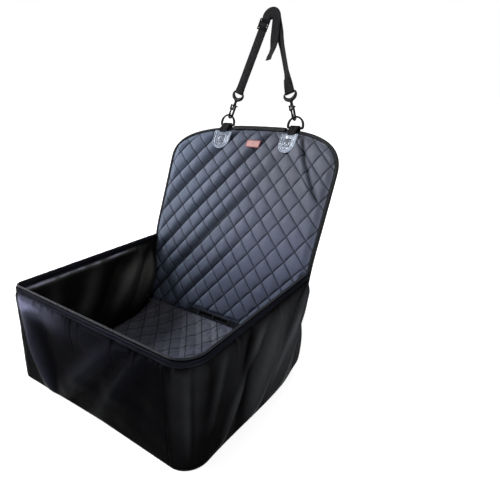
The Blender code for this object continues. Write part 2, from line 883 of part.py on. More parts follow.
def leg_frame(side):
    """Axes of a strap leg: across it, to the rear and up it, from the ring's wire where the hook grips."""
    grip_x = fitting_x(side * (ring_u - arc_radius * math.sin(leg_angle)))
    up = Vector((-side * math.sin(leg_angle), 0, 0)) + strap_up * math.cos(leg_angle)
    frame = Matrix((strap_back.cross(up), strap_back, up)).transposed().to_4x4()
    frame.translation = strap_place(grip_x, arc_centre + arc_radius * math.cos(leg_angle))
    return frame


def build_rings():
    for side in (-1, 1):
        name = side_name(side)
        path = []
        for k in range(17):
            angle = math.pi * k / 16
            path.append((arc_radius * math.cos(angle), arc_centre + arc_radius * math.sin(angle)))
        path += [(-arc_radius, ring_corner), (ring_corner - arc_radius, 0.0)]
        path += [(arc_radius - ring_corner, 0.0), (arc_radius, ring_corner)]
        points = [strap_place(fitting_x(side * ring_u) + x, height) for x, height in path]
        tube(f"d_ring_{name}", points, ring_wire_radius, "black_metal", cyclic=True, resolution=2)
        build_tab(side)


def build_tab(side):
    """The webbing loop that holds a ring: a leg in front of the panel's edge, and one behind it."""
    wrap = ring_wire_radius + touch_gap + webbing_thickness / 2
    rear = Vector((0.0, math.cos(upper_recline), -math.sin(upper_recline)))
    up = Vector((0.0, math.sin(upper_recline), math.cos(upper_recline)))
    front_w = front_face - webbing_thickness / 2
    rear_w = quilt_base + soft_gap * 2 + cloth_thickness + webbing_thickness / 2
    turns = 8

    def place(a, b):
        row = round(b * (turns + 4))
        u = fitting_x(side * ring_u) + (a - 0.5) * tab_width
        edge = panel_top_at(u)
        if row == 0:
            return panel_place(u, patch_top(side) + touch_gap, front_w)
        if row == 1:
            return panel_place(u, edge - binding_radius, front_w)
        if row == turns + 3:
            return panel_place(u, edge - binding_radius, rear_w)
        if row == turns + 4:
            return panel_place(u, edge - tab_rear_leg, rear_w)
        angle = math.pi * (1 - (row - 2) / turns)
        bar = Vector((u, bar_point.y, bar_point.z))
        return bar + rear * (wrap * math.cos(angle)) + up * (wrap * math.sin(angle))

    sheet(f"ring_tab_{side_name(side)}", place, 2, turns + 4, webbing_thickness, "webbing")


def hook_levels():
    """Heights on the hook, from the ring's wire up the leg."""
    named = {
        "yoke": hook_yoke_low, "top": hook_yoke_high, "neck": hook_neck_top, "eye": eye_low, "bar": eye_bar
    }
    return {key: value - grip_length for key, value in named.items()}


def build_hook_body(name, level, pin):
    """A bent wire round the ring, its yoke with two ears for the gate's pin, and a bored neck."""
    path = [(hook_bend, level["top"] - hook_wire_radius / 2), (hook_bend, level["yoke"] / 2)]
    for k in range(9):
        angle = -math.pi * k / 8
        path.append((hook_bend * math.cos(angle), hook_bend * math.sin(angle)))
    path.append((-hook_bend, hook_nose_rise))
    points = [(0.0, back, up) for back, up in path]
    mesh = as_mesh(tube("wire", points, hook_wire_radius, "black_metal", resolution=2))
    bm = bmesh.new()
    bm.from_mesh(mesh)
    bmesh.ops.remove_doubles(bm, verts=bm.verts, dist=1e-6)
    bmesh.ops.recalc_face_normals(bm, faces=bm.faces)
    bm.to_mesh(mesh)
    bm.free()
    body = add_object(f"hook_body_{name}", mesh, "black_metal")
    half = hook_body_width / 2
    front = -hook_bend - hook_wire_radius
    plate = half + touch_gap
    plate_low = level["top"] - hook_wire_radius
    parts = [
        box_mesh("yoke", (-plate, front - touch_gap, plate_low), (plate, -front, level["top"])),
        cylinder_mesh("neck", hook_neck_radius, (0, 0, level["top"] - hook_wire_radius / 2), (0, 0, level["neck"])),
    ]
    for hand in (-1, 1):
        x_low, x_high = sorted((hand * (half - ear_thickness), hand * half))
        low = (x_low, front, level["yoke"] - ear_reach)
        high = (x_high, front + gate_thickness * 1.6, plate_low + hook_wire_radius / 2)
        parts.append(box_mesh("ear", low, high))
    for index, part in enumerate(parts):
        combine(body, cutter(f"hook_{name}_part_{index}", part), "UNION")
    bore = cylinder_mesh(
        "bore", stem_radius + stem_clearance, (0, 0, level["yoke"]), (0, 0, level["neck"] + cutter_overrun), 12
    )
    combine(body, cutter(f"hook_{name}_stem_bore", bore), "DIFFERENCE")
    reach = Vector((half + cutter_overrun, 0, 0))
    hole = cylinder_mesh("pin_hole", pin_radius + pin_clearance, pin - reach, pin + reach, 10)
    combine(body, cutter(f"hook_{name}_pin_hole", hole), "DIFFERENCE")
    return body


def build_gate(name, pin):
    half = hook_body_width / 2
    reach = Vector((half + pin_radius, 0, 0))
    rod = add_object(
        f"gate_pin_{name}", cylinder_mesh("pin", pin_radius, pin - reach, pin + reach, 10), "spring_steel"
    )
    low = (-gate_width / 2, pin.y - gate_thickness / 2, hook_nose_rise + touch_gap)
    high = (gate_width / 2, pin.y + gate_thickness / 2, pin.z + gate_thickness / 2)
    gate = add_object(f"gate_{name}", box_mesh("gate", low, high), "black_metal")
    bevel(gate, gate_thickness / 5)
    hole = cylinder_mesh("pin_hole", pin_radius + pin_clearance, pin - reach * 2, pin + reach * 2, 10)
    combine(gate, cutter(f"gate_{name}_pin_hole", hole), "DIFFERENCE")
    return gate, rod


def build_eye(name, level):
    """The swivel eye that holds the webbing, with its stem and head in the hook's bore."""
    half = eye_inner_width / 2 + eye_wire_radius
    low, bar = level["eye"], level["bar"]
    side = [(half * x, lerp(low, bar, up)) for x, up in eye_shape_shares]
    side += [(half, bar - eye_corner), (half - eye_corner, bar)]
    ring = [(0.0, low)] + side + [(-x, up) for x, up in reversed(side)]
    points = [(x, 0.0, up) for x, up in ring]
    mesh = as_mesh(tube("eye", points, eye_wire_radius, "black_metal", cyclic=True, resolution=1))
    eye = add_object(f"swivel_eye_{name}", mesh, "black_metal")
    head_top = level["top"] - hook_wire_radius - touch_gap
    stem = cylinder_mesh("stem", stem_radius, (0, 0, head_top - stem_head_height / 2), (0, 0, low), 10)
    head = cylinder_mesh(
        "head", stem_head_radius, (0, 0, head_top - stem_head_height), (0, 0, head_top), 10
    )
    combine(eye, cutter(f"hook_{name}_stem", stem), "UNION")
    combine(eye, cutter(f"hook_{name}_head", head), "UNION")
    return eye


def build_hook(side):
    """Hook, gate, pin and swivel eye on one side, made upright and then set on the strap's leg."""
    name = side_name(side)
    frame = leg_frame(side)
    level = hook_levels()
    pin_back = -hook_bend - hook_wire_radius + gate_thickness / 2 + touch_gap
    pin = Vector((0.0, pin_back, level["yoke"] - ear_reach / 2))
    body = build_hook_body(name, level, pin)
    gate, rod = build_gate(name, pin)
    eye = build_eye(name, level)
    prefixes = (f"hook_{name}_", f"gate_{name}_")
    helpers = [piece for piece in cutters.objects if piece.name.startswith(prefixes)]
    for obj in [body, gate, rod, eye] + helpers:
        obj.matrix_world = frame


# The strap, one length of webbing


def ribbon(name, stations, width, thickness, finish):
    """Webbing through stations of (centre, direction across)."""
    last = len(stations) - 1
    bm = bmesh.new()
    bmesh.ops.create_grid(bm, x_segments=1, y_segments=last, size=0.5)
    rises = {}
    for vert in bm.verts:
        index = round((vert.co.y + 0.5) * last)
        centre, across = stations[index]
        across = across.normalized()
        run = stations[min(index + 1, last)][0] - stations[max(index - 1, 0)][0]
        rise = across.cross(run).normalized() * thickness
        vert.co = centre + across * (vert.co.x * width) - rise / 2
        rises[vert.co.copy().freeze()] = rise
    top = bmesh.ops.extrude_face_region(bm, geom=list(bm.faces))
    for vert in (item for item in top["geom"] if isinstance(item, bmesh.types.BMVert)):
        vert.co += rises[vert.co.copy().freeze()]
    bmesh.ops.recalc_face_normals(bm, faces=bm.faces)
    mesh = bpy.data.meshes.new(name)
    bm.to_mesh(mesh)
    bm.free()
    return add_object(name, mesh, finish)


def apex_turn(start, end, rise, back):
    """The webbing's turn in its own plane at the top, between two angles from upright, and the turn's centre."""
    centre_x = fitting_x(0.0)
    centre_h = strap_height - strap_turn_radius / math.sin(leg_angle) + rise
    stations = []
    for k in range(11):
        angle = lerp(start, end, k / 10)
        x = centre_x + strap_turn_radius * math.sin(angle)
        height = centre_h + strap_turn_radius * math.cos(angle)
        across = Vector((math.sin(angle), 0, 0)) + strap_up * math.cos(angle)
        stations.append((strap_place(x, height, back), across))
    return stations, (centre_x, centre_h)


def build_strap():
    ply = (webbing_thickness + ply_gap) / 2
    wrap = eye_wire_radius + touch_gap + webbing_thickness / 2
    weave_depth = buckle_thickness + 2 * touch_gap + 2 * webbing_thickness + ply_gap
    stations = []

    def on_leg(side, s, back, out=0.0, twist=0.0):
        frame = leg_frame(side).to_3x3()
        across = frame @ Vector((math.cos(twist), -math.sin(twist), 0.0))
        rear = frame @ Vector((math.sin(twist), math.cos(twist), 0.0))
        point = leg_frame(side) @ Vector((0.0, 0.0, s - grip_length))
        stations.append((point + across * out + rear * back, across * side))

    def eye_loop(side, first):
        for k in range(9):
            angle = math.pi * k / 8
            on_leg(side, eye_bar - wrap * math.sin(angle), first * wrap * math.cos(angle))

    def weave(back, direction, out=0.0):
        """Both plies dip to the front over the buckle's middle bar and go behind its outer bars."""
        reach = buckle_bar / 2 + buckle_slot
        for share, depth in ((-1, 0), (-0.3, 1), (0.3, 1), (1, 0)):
            on_leg(-1, buckle_place + direction * share * reach * 0.93, back - depth * weave_depth, out)

    spread = eye_bar + webbing_width * 0.6
    sewn_end = eye_bar + webbing_width * 1.5
    turn_reach = strap_turn_radius / math.tan(leg_angle)
    flank = math.pi / 2 - leg_angle
    # Right leg: the sewn end in front, round the eye, and up behind
    on_leg(1, sewn_end, -ply, twist=leg_twists[0][1])
    on_leg(1, spread, -ply)
    eye_loop(1, -1)
    on_leg(1, spread, ply)
    on_leg(1, sewn_end, ply, twist=leg_twists[0][1])
    top = leg_length - turn_reach
    for share, twist in leg_twists[1:]:
        on_leg(1, lerp(sewn_end, top, share), ply, twist=twist)
    turn, _ = apex_turn(flank, -flank, 0.0, ply)
    stations.extend(turn)
    # Left leg: down behind, through the buckle, round the eye and up in front
    weave(ply, -1)
    on_leg(-1, sewn_end, ply)
    on_leg(-1, spread, ply)
    eye_loop(-1, 1)
    on_leg(-1, spread, -ply)
    on_leg(-1, sewn_end, -ply)
    weave(-ply, 1)
    # Over the top once more to the free tail, which curls at its end
    turn, (centre_x, centre_h) = apex_turn(-flank, math.pi / 2, tail_rise, -ply)
    stations.extend(turn)
    tail_x = centre_x + strap_turn_radius
    for share in (0.35, 0.5, 0.6, 0.7, 0.8, 0.9, 1.0):
        curl = ease((share - 0.6) / 0.4) ** 1.5
        twist = tail_twist * ease((share - 0.45) / 0.35)
        height = lerp(centre_h, tail_end_height, share)
        point = strap_place(tail_x - tail_curl_drift * curl, height, -ply - tail_curl * curl)
        stations.append((point, Vector((math.cos(twist), 0, 0)) - strap_back * math.sin(twist)))
    ribbon("strap_webbing", stations, webbing_width, webbing_thickness, "webbing")


def build_buckle():
    """Three bars across the left leg: both plies pass behind the outer two and in front of the middle one."""
    ply = (webbing_thickness + ply_gap) / 2
    back = -(ply + webbing_thickness / 2 + touch_gap + buckle_thickness / 2)
    half = buckle_inner_width / 2 + buckle_side
    reach = buckle_bar * 1.5 + buckle_slot
    middle = buckle_place - grip_length
    low = (-half, back - buckle_thickness / 2, middle - reach)
    high = (half, back + buckle_thickness / 2, middle + reach)
    buckle = add_object("slide_buckle", box_mesh("slide_buckle", low, high), "black_plastic")
    bevel(buckle, buckle_thickness / 5)
    pieces = [buckle]
    for hand in (-1, 1):
        slot_middle = middle + hand * (buckle_bar + buckle_slot) / 2
        slot = box_mesh(
            "slot",
            (-buckle_inner_width / 2, back - cutter_overrun, slot_middle - buckle_slot / 2),
            (buckle_inner_width / 2, back + cutter_overrun, slot_middle + buckle_slot / 2),
        )
        piece = cutter(f"buckle_slot_{hand}", slot)
        combine(buckle, piece, "DIFFERENCE")
        pieces.append(piece)
    for obj in pieces:
        obj.matrix_world = leg_frame(-1)


# Pivots


to_middle = Vector((0.0, crease_from_middle, 0.0))


def move_to_middle():
    for obj in list(collection.objects) + list(cutters.objects):
        obj.matrix_world = Matrix.Translation(to_middle) @ obj.matrix_world


def pivot(name, place, nodes):
    """An empty on a joint's axis, with the pieces that move about it."""
    empty = bpy.data.objects.new(name, None)
    collection.objects.link(empty)
    empty.location = place + to_middle
    bpy.context.view_layer.update()
    for node in nodes:
        obj = bpy.data.objects[node]
        kept = obj.matrix_world.copy()
        obj.parent = empty
        obj.matrix_parent_inverse = empty.matrix_world.inverted()
        obj.matrix_world = kept


def build_pivots():
    pivot("backrest_pivot", panel_place(0.0, fold_height, 0.0), [
        "upper_back_quilt", "upper_back_cloth", "upper_back_binding", "top_band", "label_patch",
        "ring_patch_left", "ring_patch_right", "ring_tab_left", "ring_tab_right",
    ])
    level = hook_levels()
    pin_back = -hook_bend - hook_wire_radius + gate_thickness / 2 + touch_gap
    for side in (-1, 1):
        name = side_name(side)
        frame = leg_frame(side)
        pivot(f"ring_{name}_pivot", strap_place(fitting_x(side * ring_u), 0.0), [f"d_ring_{name}"])
        pivot(f"hook_{name}_pivot", frame.translation, [f"hook_body_{name}", f"gate_pin_{name}"])
        pin = frame @ Vector((0.0, pin_back, level["yoke"] - ear_reach / 2))
        pivot(f"gate_{name}_pivot", pin, [f"gate_{name}"])
    grip = leg_frame(-1).translation
    pivot("strap_pivot", Vector((0.0, grip.y, grip.z)), [
        "strap_webbing", "slide_buckle", "swivel_eye_left", "swivel_eye_right",
    ])


def main():
    clear_scene()
    bpy.context.scene.collection.children.link(collection)
    bpy.context.scene.collection.children.link(cutters)
    cutters.hide_render = True
    build_base()
    build_seat()
    build_crease()
    build_walls()
    build_rim()
    build_lower_back()
    build_upper_back()
    build_patches()
    build_top_band()
    build_rings()
    for side in (-1, 1):
        build_hook(side)
    build_strap()
    build_buckle()
    move_to_middle()
    build_pivots()


main()
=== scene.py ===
"""Dog car seat, dressed for a studio picture.

A sewn tub of boards and black cloth, a quilted seat and a quilted backrest, and a strap of webbing on two
snap hooks. +X is the viewer's right, -Y the front, +Z up, all in metres. The file follows the seat as it is
put together: floor and walls of the tub, the quilting, the fittings on the backrest, and then the strap.
"""

import math

import bmesh
import bpy
import numpy as np
from mathutils import Matrix, Vector


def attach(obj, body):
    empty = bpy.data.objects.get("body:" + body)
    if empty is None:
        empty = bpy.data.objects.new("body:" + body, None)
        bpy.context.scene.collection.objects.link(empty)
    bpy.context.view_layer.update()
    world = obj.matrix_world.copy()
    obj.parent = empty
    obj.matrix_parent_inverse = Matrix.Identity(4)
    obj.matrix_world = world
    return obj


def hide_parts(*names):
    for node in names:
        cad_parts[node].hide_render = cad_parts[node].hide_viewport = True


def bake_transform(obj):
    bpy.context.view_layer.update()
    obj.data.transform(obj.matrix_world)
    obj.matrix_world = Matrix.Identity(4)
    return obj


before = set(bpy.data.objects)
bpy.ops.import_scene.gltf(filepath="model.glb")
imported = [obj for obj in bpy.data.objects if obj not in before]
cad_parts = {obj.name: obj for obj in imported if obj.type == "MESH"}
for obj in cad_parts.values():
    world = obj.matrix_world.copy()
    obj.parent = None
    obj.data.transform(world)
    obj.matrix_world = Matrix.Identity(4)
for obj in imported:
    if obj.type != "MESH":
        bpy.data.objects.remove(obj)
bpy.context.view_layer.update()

# The picture
# The camera looks down at the seat from its front right corner, a little turned about its own line of sight.
# Two soft lamps stand on the left, one low in front of the seat and one high beside it, with weaker ones on
# the right and at the rear.

camera_turn, camera_rise, camera_roll = 0.656, 0.386, -0.059
camera_distance, camera_target = 1.223, (-0.003, 0.209, 0.182)
focal_pixels, picture_pixels, middle_pixel, film_width = 443.15, 500, (254.37, 240.39), 36.0

ahead = Vector((
    -math.sin(camera_turn) * math.cos(camera_rise),
    math.cos(camera_turn) * math.cos(camera_rise),
    -math.sin(camera_rise),
))
level_right = ahead.cross(Vector((0, 0, 1))).normalized()
level_up = level_right.cross(ahead)
camera_right = level_right * math.cos(camera_roll) + level_up * math.sin(camera_roll)
camera_up = level_up * math.cos(camera_roll) - level_right * math.sin(camera_roll)


def stand(name, data):
    """A new object in the scene, for a camera, a lamp or a mesh."""
    made = bpy.data.objects.new(name, data)
    bpy.context.scene.collection.objects.link(made)
    return made


camera = stand("camera", bpy.data.cameras.new("camera"))
camera.data.sensor_width = film_width
camera.data.lens = film_width * focal_pixels / picture_pixels
camera.data.shift_x = (picture_pixels / 2 - middle_pixel[0]) / picture_pixels
camera.data.shift_y = (middle_pixel[1] - picture_pixels / 2) / picture_pixels
camera.matrix_world = Matrix.Translation(Vector(camera_target) - ahead * camera_distance) @ Matrix(
    (camera_right, camera_up, -ahead)
).transposed().to_4x4()
bpy.context.scene.camera = camera
bpy.context.scene.view_settings.view_transform = "Standard"


def worked_out(operation, swapped=False):
    """A method that adds the Math node of an operation on a thread and what it is given."""
    if swapped:
        return lambda self, other: self.nodes.maths(operation, other, self)
    return lambda self, *others: self.nodes.maths(operation, self, *others)


class Thread:
    """One value that runs through a tree of nodes. A sum or product of threads adds the node that works it out."""

    def __init__(self, nodes, socket):
        self.nodes, self.socket = nodes, socket

    __add__, __radd__ = worked_out("ADD"), worked_out("ADD", True)
    __sub__, __rsub__ = worked_out("SUBTRACT"), worked_out("SUBTRACT", True)
    __mul__, __rmul__ = worked_out("MULTIPLY"), worked_out("MULTIPLY", True)
    __truediv__, __pow__, __abs__ = worked_out("DIVIDE"), worked_out("POWER"), worked_out("ABSOLUTE")
    sine, over, under = worked_out("SINE"), worked_out("MAXIMUM"), worked_out("MINIMUM")
    to_and_fro = worked_out("PINGPONG")

    def from_whole(self):
        """How far a number is from the nearest whole one, 0 to 0.5."""
        return self.to_and_fro(0.5)

    def eased(self, low, high):
        """0 below low and 1 above high, with a smooth rise between them."""
        settings = {"interpolation_type": "SMOOTHSTEP"}
        return self.nodes.node("ShaderNodeMapRange", settings, {0: self, 1: low, 2: high, 3: 0.0, 4: 1.0})

    def line(self, middle, full, none):
        """1 where the value is within full of the middle, and 0 where it is none or more away."""
        return 1 - abs(self - middle).eased(full, none)

    def stripes(self, pitch):
        """Soft stripes, 0 to 1, a pitch apart."""
        return (self * (math.pi * 2 / pitch)).sine() * 0.5 + 0.5


class Nodes:
    """A tree of nodes as it is threaded up."""

    def __init__(self, tree):
        self.tree = tree

    def feed(self, socket, value):
        if isinstance(value, Thread):
            self.tree.links.new(value.socket, socket)
        else:
            socket.default_value = value

    def node(self, kind, settings, sockets, output=0):
        made = self.tree.nodes.new(kind)
        for key, value in settings.items():
            setattr(made, key, value)
        for key, value in sockets.items():
            self.feed(made.inputs[key], value)
        return Thread(self, made.outputs[output])

    def maths(self, operation, *values):
        return self.node("ShaderNodeMath", {"operation": operation}, dict(enumerate(values)))

    def seen(self):
        """1 for what the camera sees, straight, in a reflection or through something clear, and 0 for light."""
        ways = ("Camera", "Glossy", "Transmission")
        straight, glossy, clear = (self.node("ShaderNodeLightPath", {}, {}, f"Is {way} Ray") for way in ways)
        return straight.over(glossy).over(clear)


class Finish(Nodes):
    """A material as it is made up: what is even all over is set on its shader, what changes is threaded in."""

    def __init__(self, name, colour, roughness, **evens):
        self.material = bpy.data.materials.new(name)
        self.material.use_nodes = True
        super().__init__(self.material.node_tree)
        self.shader, self.normal = self.tree.nodes["Principled BSDF"], None
        self.set("Base Color", (*colour, 1.0))
        self.set("Roughness", roughness)
        for socket, value in evens.items():
            self.set(socket.replace("_", " ").title().replace("Ior", "IOR"), value)

    def set(self, socket, value):
        self.feed(self.shader.inputs[socket], value)

    def spot(self):
        """The point's place on the seat, as one vector."""
        return self.node("ShaderNodeTexCoord", {}, {}, "Object")

    def parts(self, vector):
        """The three numbers of a vector."""
        split = self.tree.nodes.new("ShaderNodeSeparateXYZ")
        self.feed(split.inputs[0], vector)
        return [Thread(self, output) for output in split.outputs]

    def cloth(self):
        """How far the point lies across and along the flat cloth, in metres."""
        return self.parts(self.node("ShaderNodeUVMap", {"uv_map": "cloth"}, {}, "UV"))[:2]

    def marked(self, name):
        """The value that a piece keeps with its points under a name."""
        return self.node("ShaderNodeAttribute", {"attribute_name": name}, {}, "Fac")

    def speckle(self, scale, detail):
        """Uneven patches, 0 to 1, scale to the metre."""
        return self.node("ShaderNodeTexNoise", {}, {"Vector": self.spot(), "Scale": scale, "Detail": detail})

    def blend(self, share, first, second):
        """A colour part of the way from the first to the second."""
        first, second = ((*c, 1.0) if isinstance(c, tuple) else c for c in (first, second))
        return self.node("ShaderNodeMix", {"data_type": "RGBA"}, {0: share, 6: first, 7: second}, 2)

    def relief(self, height, depth, strength=1.0):
        """Raises the surface by depth metres where height is 1, over any relief made before."""
        sockets = {"Height": height, "Distance": depth, "Strength": strength}
        if self.normal:
            sockets["Normal"] = self.normal
        self.normal = self.node("ShaderNodeBump", {}, sockets)
        self.set("Normal", self.normal)

    def weave(self, pitch, depth):
        """A plain weave: sines across and along the cloth, multiplied, so that threads pass over in turn."""
        across, along = self.cloth()
        turns = math.pi / pitch
        self.relief((across * turns).sine() * (along * turns).sine() * 0.5 + 0.5, depth)


def shade(colour, factor, lift=0.0):
    """A colour made darker or lighter by a factor, and then lifted."""
    return tuple(value * factor + lift for value in colour)


def lamp(name, place, target, size, watts, colour):
    """A round soft lamp that is turned to a target."""
    light = bpy.data.lights.new(name, "AREA")
    light.shape, light.size, light.energy, light.color = "DISK", size, watts, colour
    made = stand(name, light)
    made.location, made.rotation_mode = place, "QUATERNION"
    made.rotation_quaternion = (Vector(place) - Vector(target)).to_track_quat("Z", "Y")


lamp("low_left_lamp", (-1.7, -1.7, 0.45), (0.0, -0.1, 0.15), 1.0, 26.0, (1.0, 0.97, 1.0))
lamp("high_left_lamp", (-1.9, -0.5, 1.7), (0.0, 0.1, 0.25), 0.8, 62.0, (0.97, 0.98, 1.0))
lamp("right_lamp", (2.0, -0.5, 0.8), (0.1, 0.0, 0.15), 0.9, 14.0, (0.98, 0.99, 1.0))
lamp("rear_lamp", (0.2, 2.2, 1.8), (0.0, 0.1, 0.3), 1.2, 10.0, (1.0, 1.0, 1.0))

world = bpy.data.worlds.new("studio")
world.use_nodes = True
bpy.context.scene.world = world
room_level, white_level, white = 0.24, 1.0, (1.0, 1.0, 1.0)
sky = Nodes(world.node_tree)
backdrop = sky.tree.nodes["Background"]
sky.feed(backdrop.inputs["Strength"], sky.node("ShaderNodeMix", {}, {0: sky.seen(), 2: room_level, 3: white_level}))
backdrop.inputs["Color"].default_value = (*white, 1.0)

floor_half, floor_gap = 6.0, 0.0004
glow_start, glow_full = 0.6, 2.0
floor_corners = [(x * floor_half, y * floor_half, -floor_gap) for x, y in ((-1, -1), (1, -1), (1, 1), (-1, 1))]
floor_mesh = bpy.data.meshes.new("floor")
floor_mesh.from_pydata(floor_corners, [], [(0, 1, 2, 3)])
pale_floor = Finish("pale_floor", (0.80, 0.80, 0.80), 0.9, specular_ior_level=0.0)
far_x, far_y, _ = pale_floor.parts(pale_floor.spot())
far = ((far_x * far_x + far_y * far_y) ** 0.5).eased(glow_start, glow_full)
glow = pale_floor.blend(far, (0.72, 0.72, 0.72), white)
pale_floor.set("Emission Color", pale_floor.blend(pale_floor.seen(), (0.0, 0.0, 0.0), glow))
pale_floor.set("Emission Strength", 1.0)
floor_mesh.materials.append(pale_floor.material)
stand("floor", floor_mesh)

# Underside
# The tub stands on a sheet of non-slip cloth, which curves up towards the crease at its rear. A stiff board
# lies on it under the seat pad.

crease_y, crease_z = 0.008, 0.020
base_half, base_rear_half, base_reach = 0.253, 0.240, 0.348
lift_start, lift = 0.074, 0.024
corner_radius = {-1: 0.014, 1: 0.045}
board, cloth_thick, underside_thick, hem_thick = 0.003, 0.0012, 0.0015, 0.0015
touch, soft_gap = 0.0003, 0.0008


def between(first, second, share):
    """A straight change from the first value at share 0 to the second at 1."""
    return first + (second - first) * share


def ease(share):
    """0 up to share 0 and 1 from 1 on, with a smooth rise between them."""
    share = np.clip(share, 0.0, 1.0)
    return share * share * (3 - 2 * share)


def bell(away, width):
    """A hill with a round top, 1 where away is 0: the exponential of minus its square in widths."""
    return np.exp(-((away / width) ** 2))


def run_along(*axes):
    """The length run along a line up to each of its points, from the numbers of each axis."""
    return np.append(0, np.cumsum(np.sqrt(sum(np.diff(axis) ** 2 for axis in axes))))


def unit(vectors):
    """Vectors of the same directions with length 1."""
    return vectors / np.linalg.norm(vectors, axis=-1, keepdims=True)


def matched(*values):
    """Values as arrays of one shape."""
    return [np.asarray(value, float) for value in np.broadcast_arrays(*values)]


def flat_grid(across, along):
    """A grid of places on a flat cloth from those across it and those along it."""
    return np.stack(np.meshgrid(across, along), -1)


def wander(x, y, seed, size, waves=7):
    """Soft uneven hills from -1 to 1: a sum of sines in random directions, each about size long."""
    dice = np.random.default_rng(seed)
    total = 0.0
    for _ in range(waves):
        angle, phase = dice.uniform(0, 2 * math.pi, 2)
        pitch = 2 * math.pi / (size * dice.uniform(0.6, 1.7))
        total = total + np.sin((x * math.cos(angle) + y * math.sin(angle)) * pitch + phase)
    return total / waves * 1.6


def surface(name, points, cloth=None, turned=False, round_rows=False, round_columns=False, ends=False):
    """A mesh over a grid of points (rows, columns, 3). cloth is each point's place on the flat cloth, with one
    more row or column where the grid closes on itself; ends caps the first and last row of a tube."""
    points = np.asarray(points, float)
    rows, columns = points.shape[:2]
    row, column = np.meshgrid(
        np.arange(rows - (not round_rows)), np.arange(columns - (not round_columns)), indexing="ij"
    )
    row, column = row.ravel(), column.ravel()
    corners = [(row, column), (row, column + 1), (row + 1, column + 1), (row + 1, column)]
    corners = corners[::-1] if turned else corners
    faces = np.stack([(r % rows) * columns + c % columns for r, c in corners], -1).tolist()
    count = len(faces)
    if ends:
        first, last = list(range(columns)), list(range((rows - 1) * columns, rows * columns))
        faces += [first, last[::-1]] if turned else [first[::-1], last]
    mesh = bpy.data.meshes.new(name)
    mesh.from_pydata((points + (0.0, crease_y, 0.0)).reshape(-1, 3).tolist(), [], faces)
    if cloth is not None:
        layer = mesh.uv_layers.new(name="cloth")
        flat = np.zeros((len(mesh.loops), 2), np.float32)
        flat[: 4 * count] = np.stack([cloth[r, c] for r, c in corners], 1).reshape(-1, 2)
        layer.data.foreach_set("uv", flat.ravel())
    mesh.shade_smooth()
    return stand(name, mesh)


def flat_cloth(points):
    """Each grid point's place on the flat cloth: the length run along its row and down its column."""
    across = np.linalg.norm(np.diff(points, axis=1), axis=2).mean(0)
    along = np.linalg.norm(np.diff(points, axis=0), axis=2).mean(1)
    return flat_grid(np.append(0, np.cumsum(across)), np.append(0, np.cumsum(along)))


def rounded(piece, width, sharp):
    """Rounds the edges that turn by more than sharp degrees."""
    edge = piece.modifiers.new("edge", "BEVEL")
    edge.width, edge.segments, edge.limit_method, edge.angle_limit = width, 2, "ANGLE", math.radians(sharp)
    return piece


def thicken(piece, thickness, edge_width=0.0):
    modifier = piece.modifiers.new("thickness", "SOLIDIFY")
    modifier.thickness, modifier.offset = thickness, 0.0
    return rounded(piece, edge_width, 50) if edge_width else piece


def refinish(node, finish):
    """Gives a solid that stays its finish."""
    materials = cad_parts[node].data.materials
    materials.clear()
    materials.append(finish.material)


def mark(mesh, name, values):
    """Keeps a value with each point of a mesh."""
    layer = mesh.attributes.new(name, "FLOAT", "POINT")
    layer.data.foreach_set("value", np.ascontiguousarray(values, np.float32).ravel())


def sew_on(piece, finish, body, slot, *stands_for):
    """Gives a piece its finish and the part of the seat that it moves with. With "fold" for body its place is only
    baked into its points, and it is tied to no part."""
    piece.data.materials.clear()
    piece.data.materials.append(finish.material)
    if body == "fold":
        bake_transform(piece)
    else:
        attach(piece, body)
    if stands_for:
        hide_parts(*stands_for)
    return piece


def base_rise(y):
    """The underside's height: a power curve up from lift_start in front of the crease."""
    return lift * np.clip((y + lift_start) / lift_start, 0, 1) ** 1.6


def base_edge(side, y):
    """Half the base's width at y: a straight side, and a quarter circle at the front corner."""
    radius = corner_radius[side]
    corner_y = radius - base_reach
    step = np.clip(corner_y - y, 0, radius)
    turned = base_half - radius + np.sqrt(radius**2 - step**2)
    return np.where(y >= corner_y, between(base_half, base_rear_half, (y - corner_y) / -corner_y), turned)


def rear_flare(y):
    """How far the walls' foot stands out at y: a smooth rise over 0.22 m to the rear from y -0.30."""
    return 0.012 * ease((y + 0.30) / 0.22)


def front_share(y):
    """A smooth rise towards the front, from 0 at y -0.20 to 1 at y -0.30."""
    return ease((-0.20 - y) / 0.1)


non_slip = Finish("non_slip_cloth", (0.010, 0.010, 0.011), 0.85, specular_ior_level=0.12)
across, along = non_slip.cloth()
dot_turns, dot_height = math.pi / 0.0045, 0.0004
dots = ((across * dot_turns).sine() * (along * dot_turns).sine()).eased(0.45, 0.75)
non_slip.weave(0.0007, 0.00006)
non_slip.relief(dots, dot_height)
non_slip.set("Base Color", non_slip.blend(dots, (0.007, 0.007, 0.008), (0.015, 0.015, 0.016)))
non_slip.set("Roughness", 0.85 - dots * 0.35)

outside = board / 2 + touch + cloth_thick / 2 + cloth_thick
front = -base_reach - outside
fine_reach, left_foot = 0.06, 0.009
fine_rows, even_rows = 1 - np.cos(np.linspace(0, math.pi / 2, 22)), np.linspace(1.1 * fine_reach, -front, 60)
rows_y = front + np.concatenate([fine_reach * fine_rows, even_rows])
left_edge, right_edge = (
    base_edge(side, np.maximum(rows_y + outside, 1e-6 - base_reach)) + outside + rear_flare(rows_y + crease_y)
    for side in (-1, 1)
)
left_edge = left_edge + left_foot * front_share(rows_y + crease_y)
share = np.linspace(0, 1, 61)
y = np.repeat(rows_y[:, None], share.size, 1)
x = between(-left_edge[:, None], right_edge[:, None], share)
z = base_rise(y) + underside_thick / 2
points = np.stack([x, y, z], -1)
underside = thicken(surface("underside_cloth", points, np.stack([x, y], -1)), underside_thick)
sew_on(underside, non_slip, "tub", "non_slip_cloth", "base_underside")

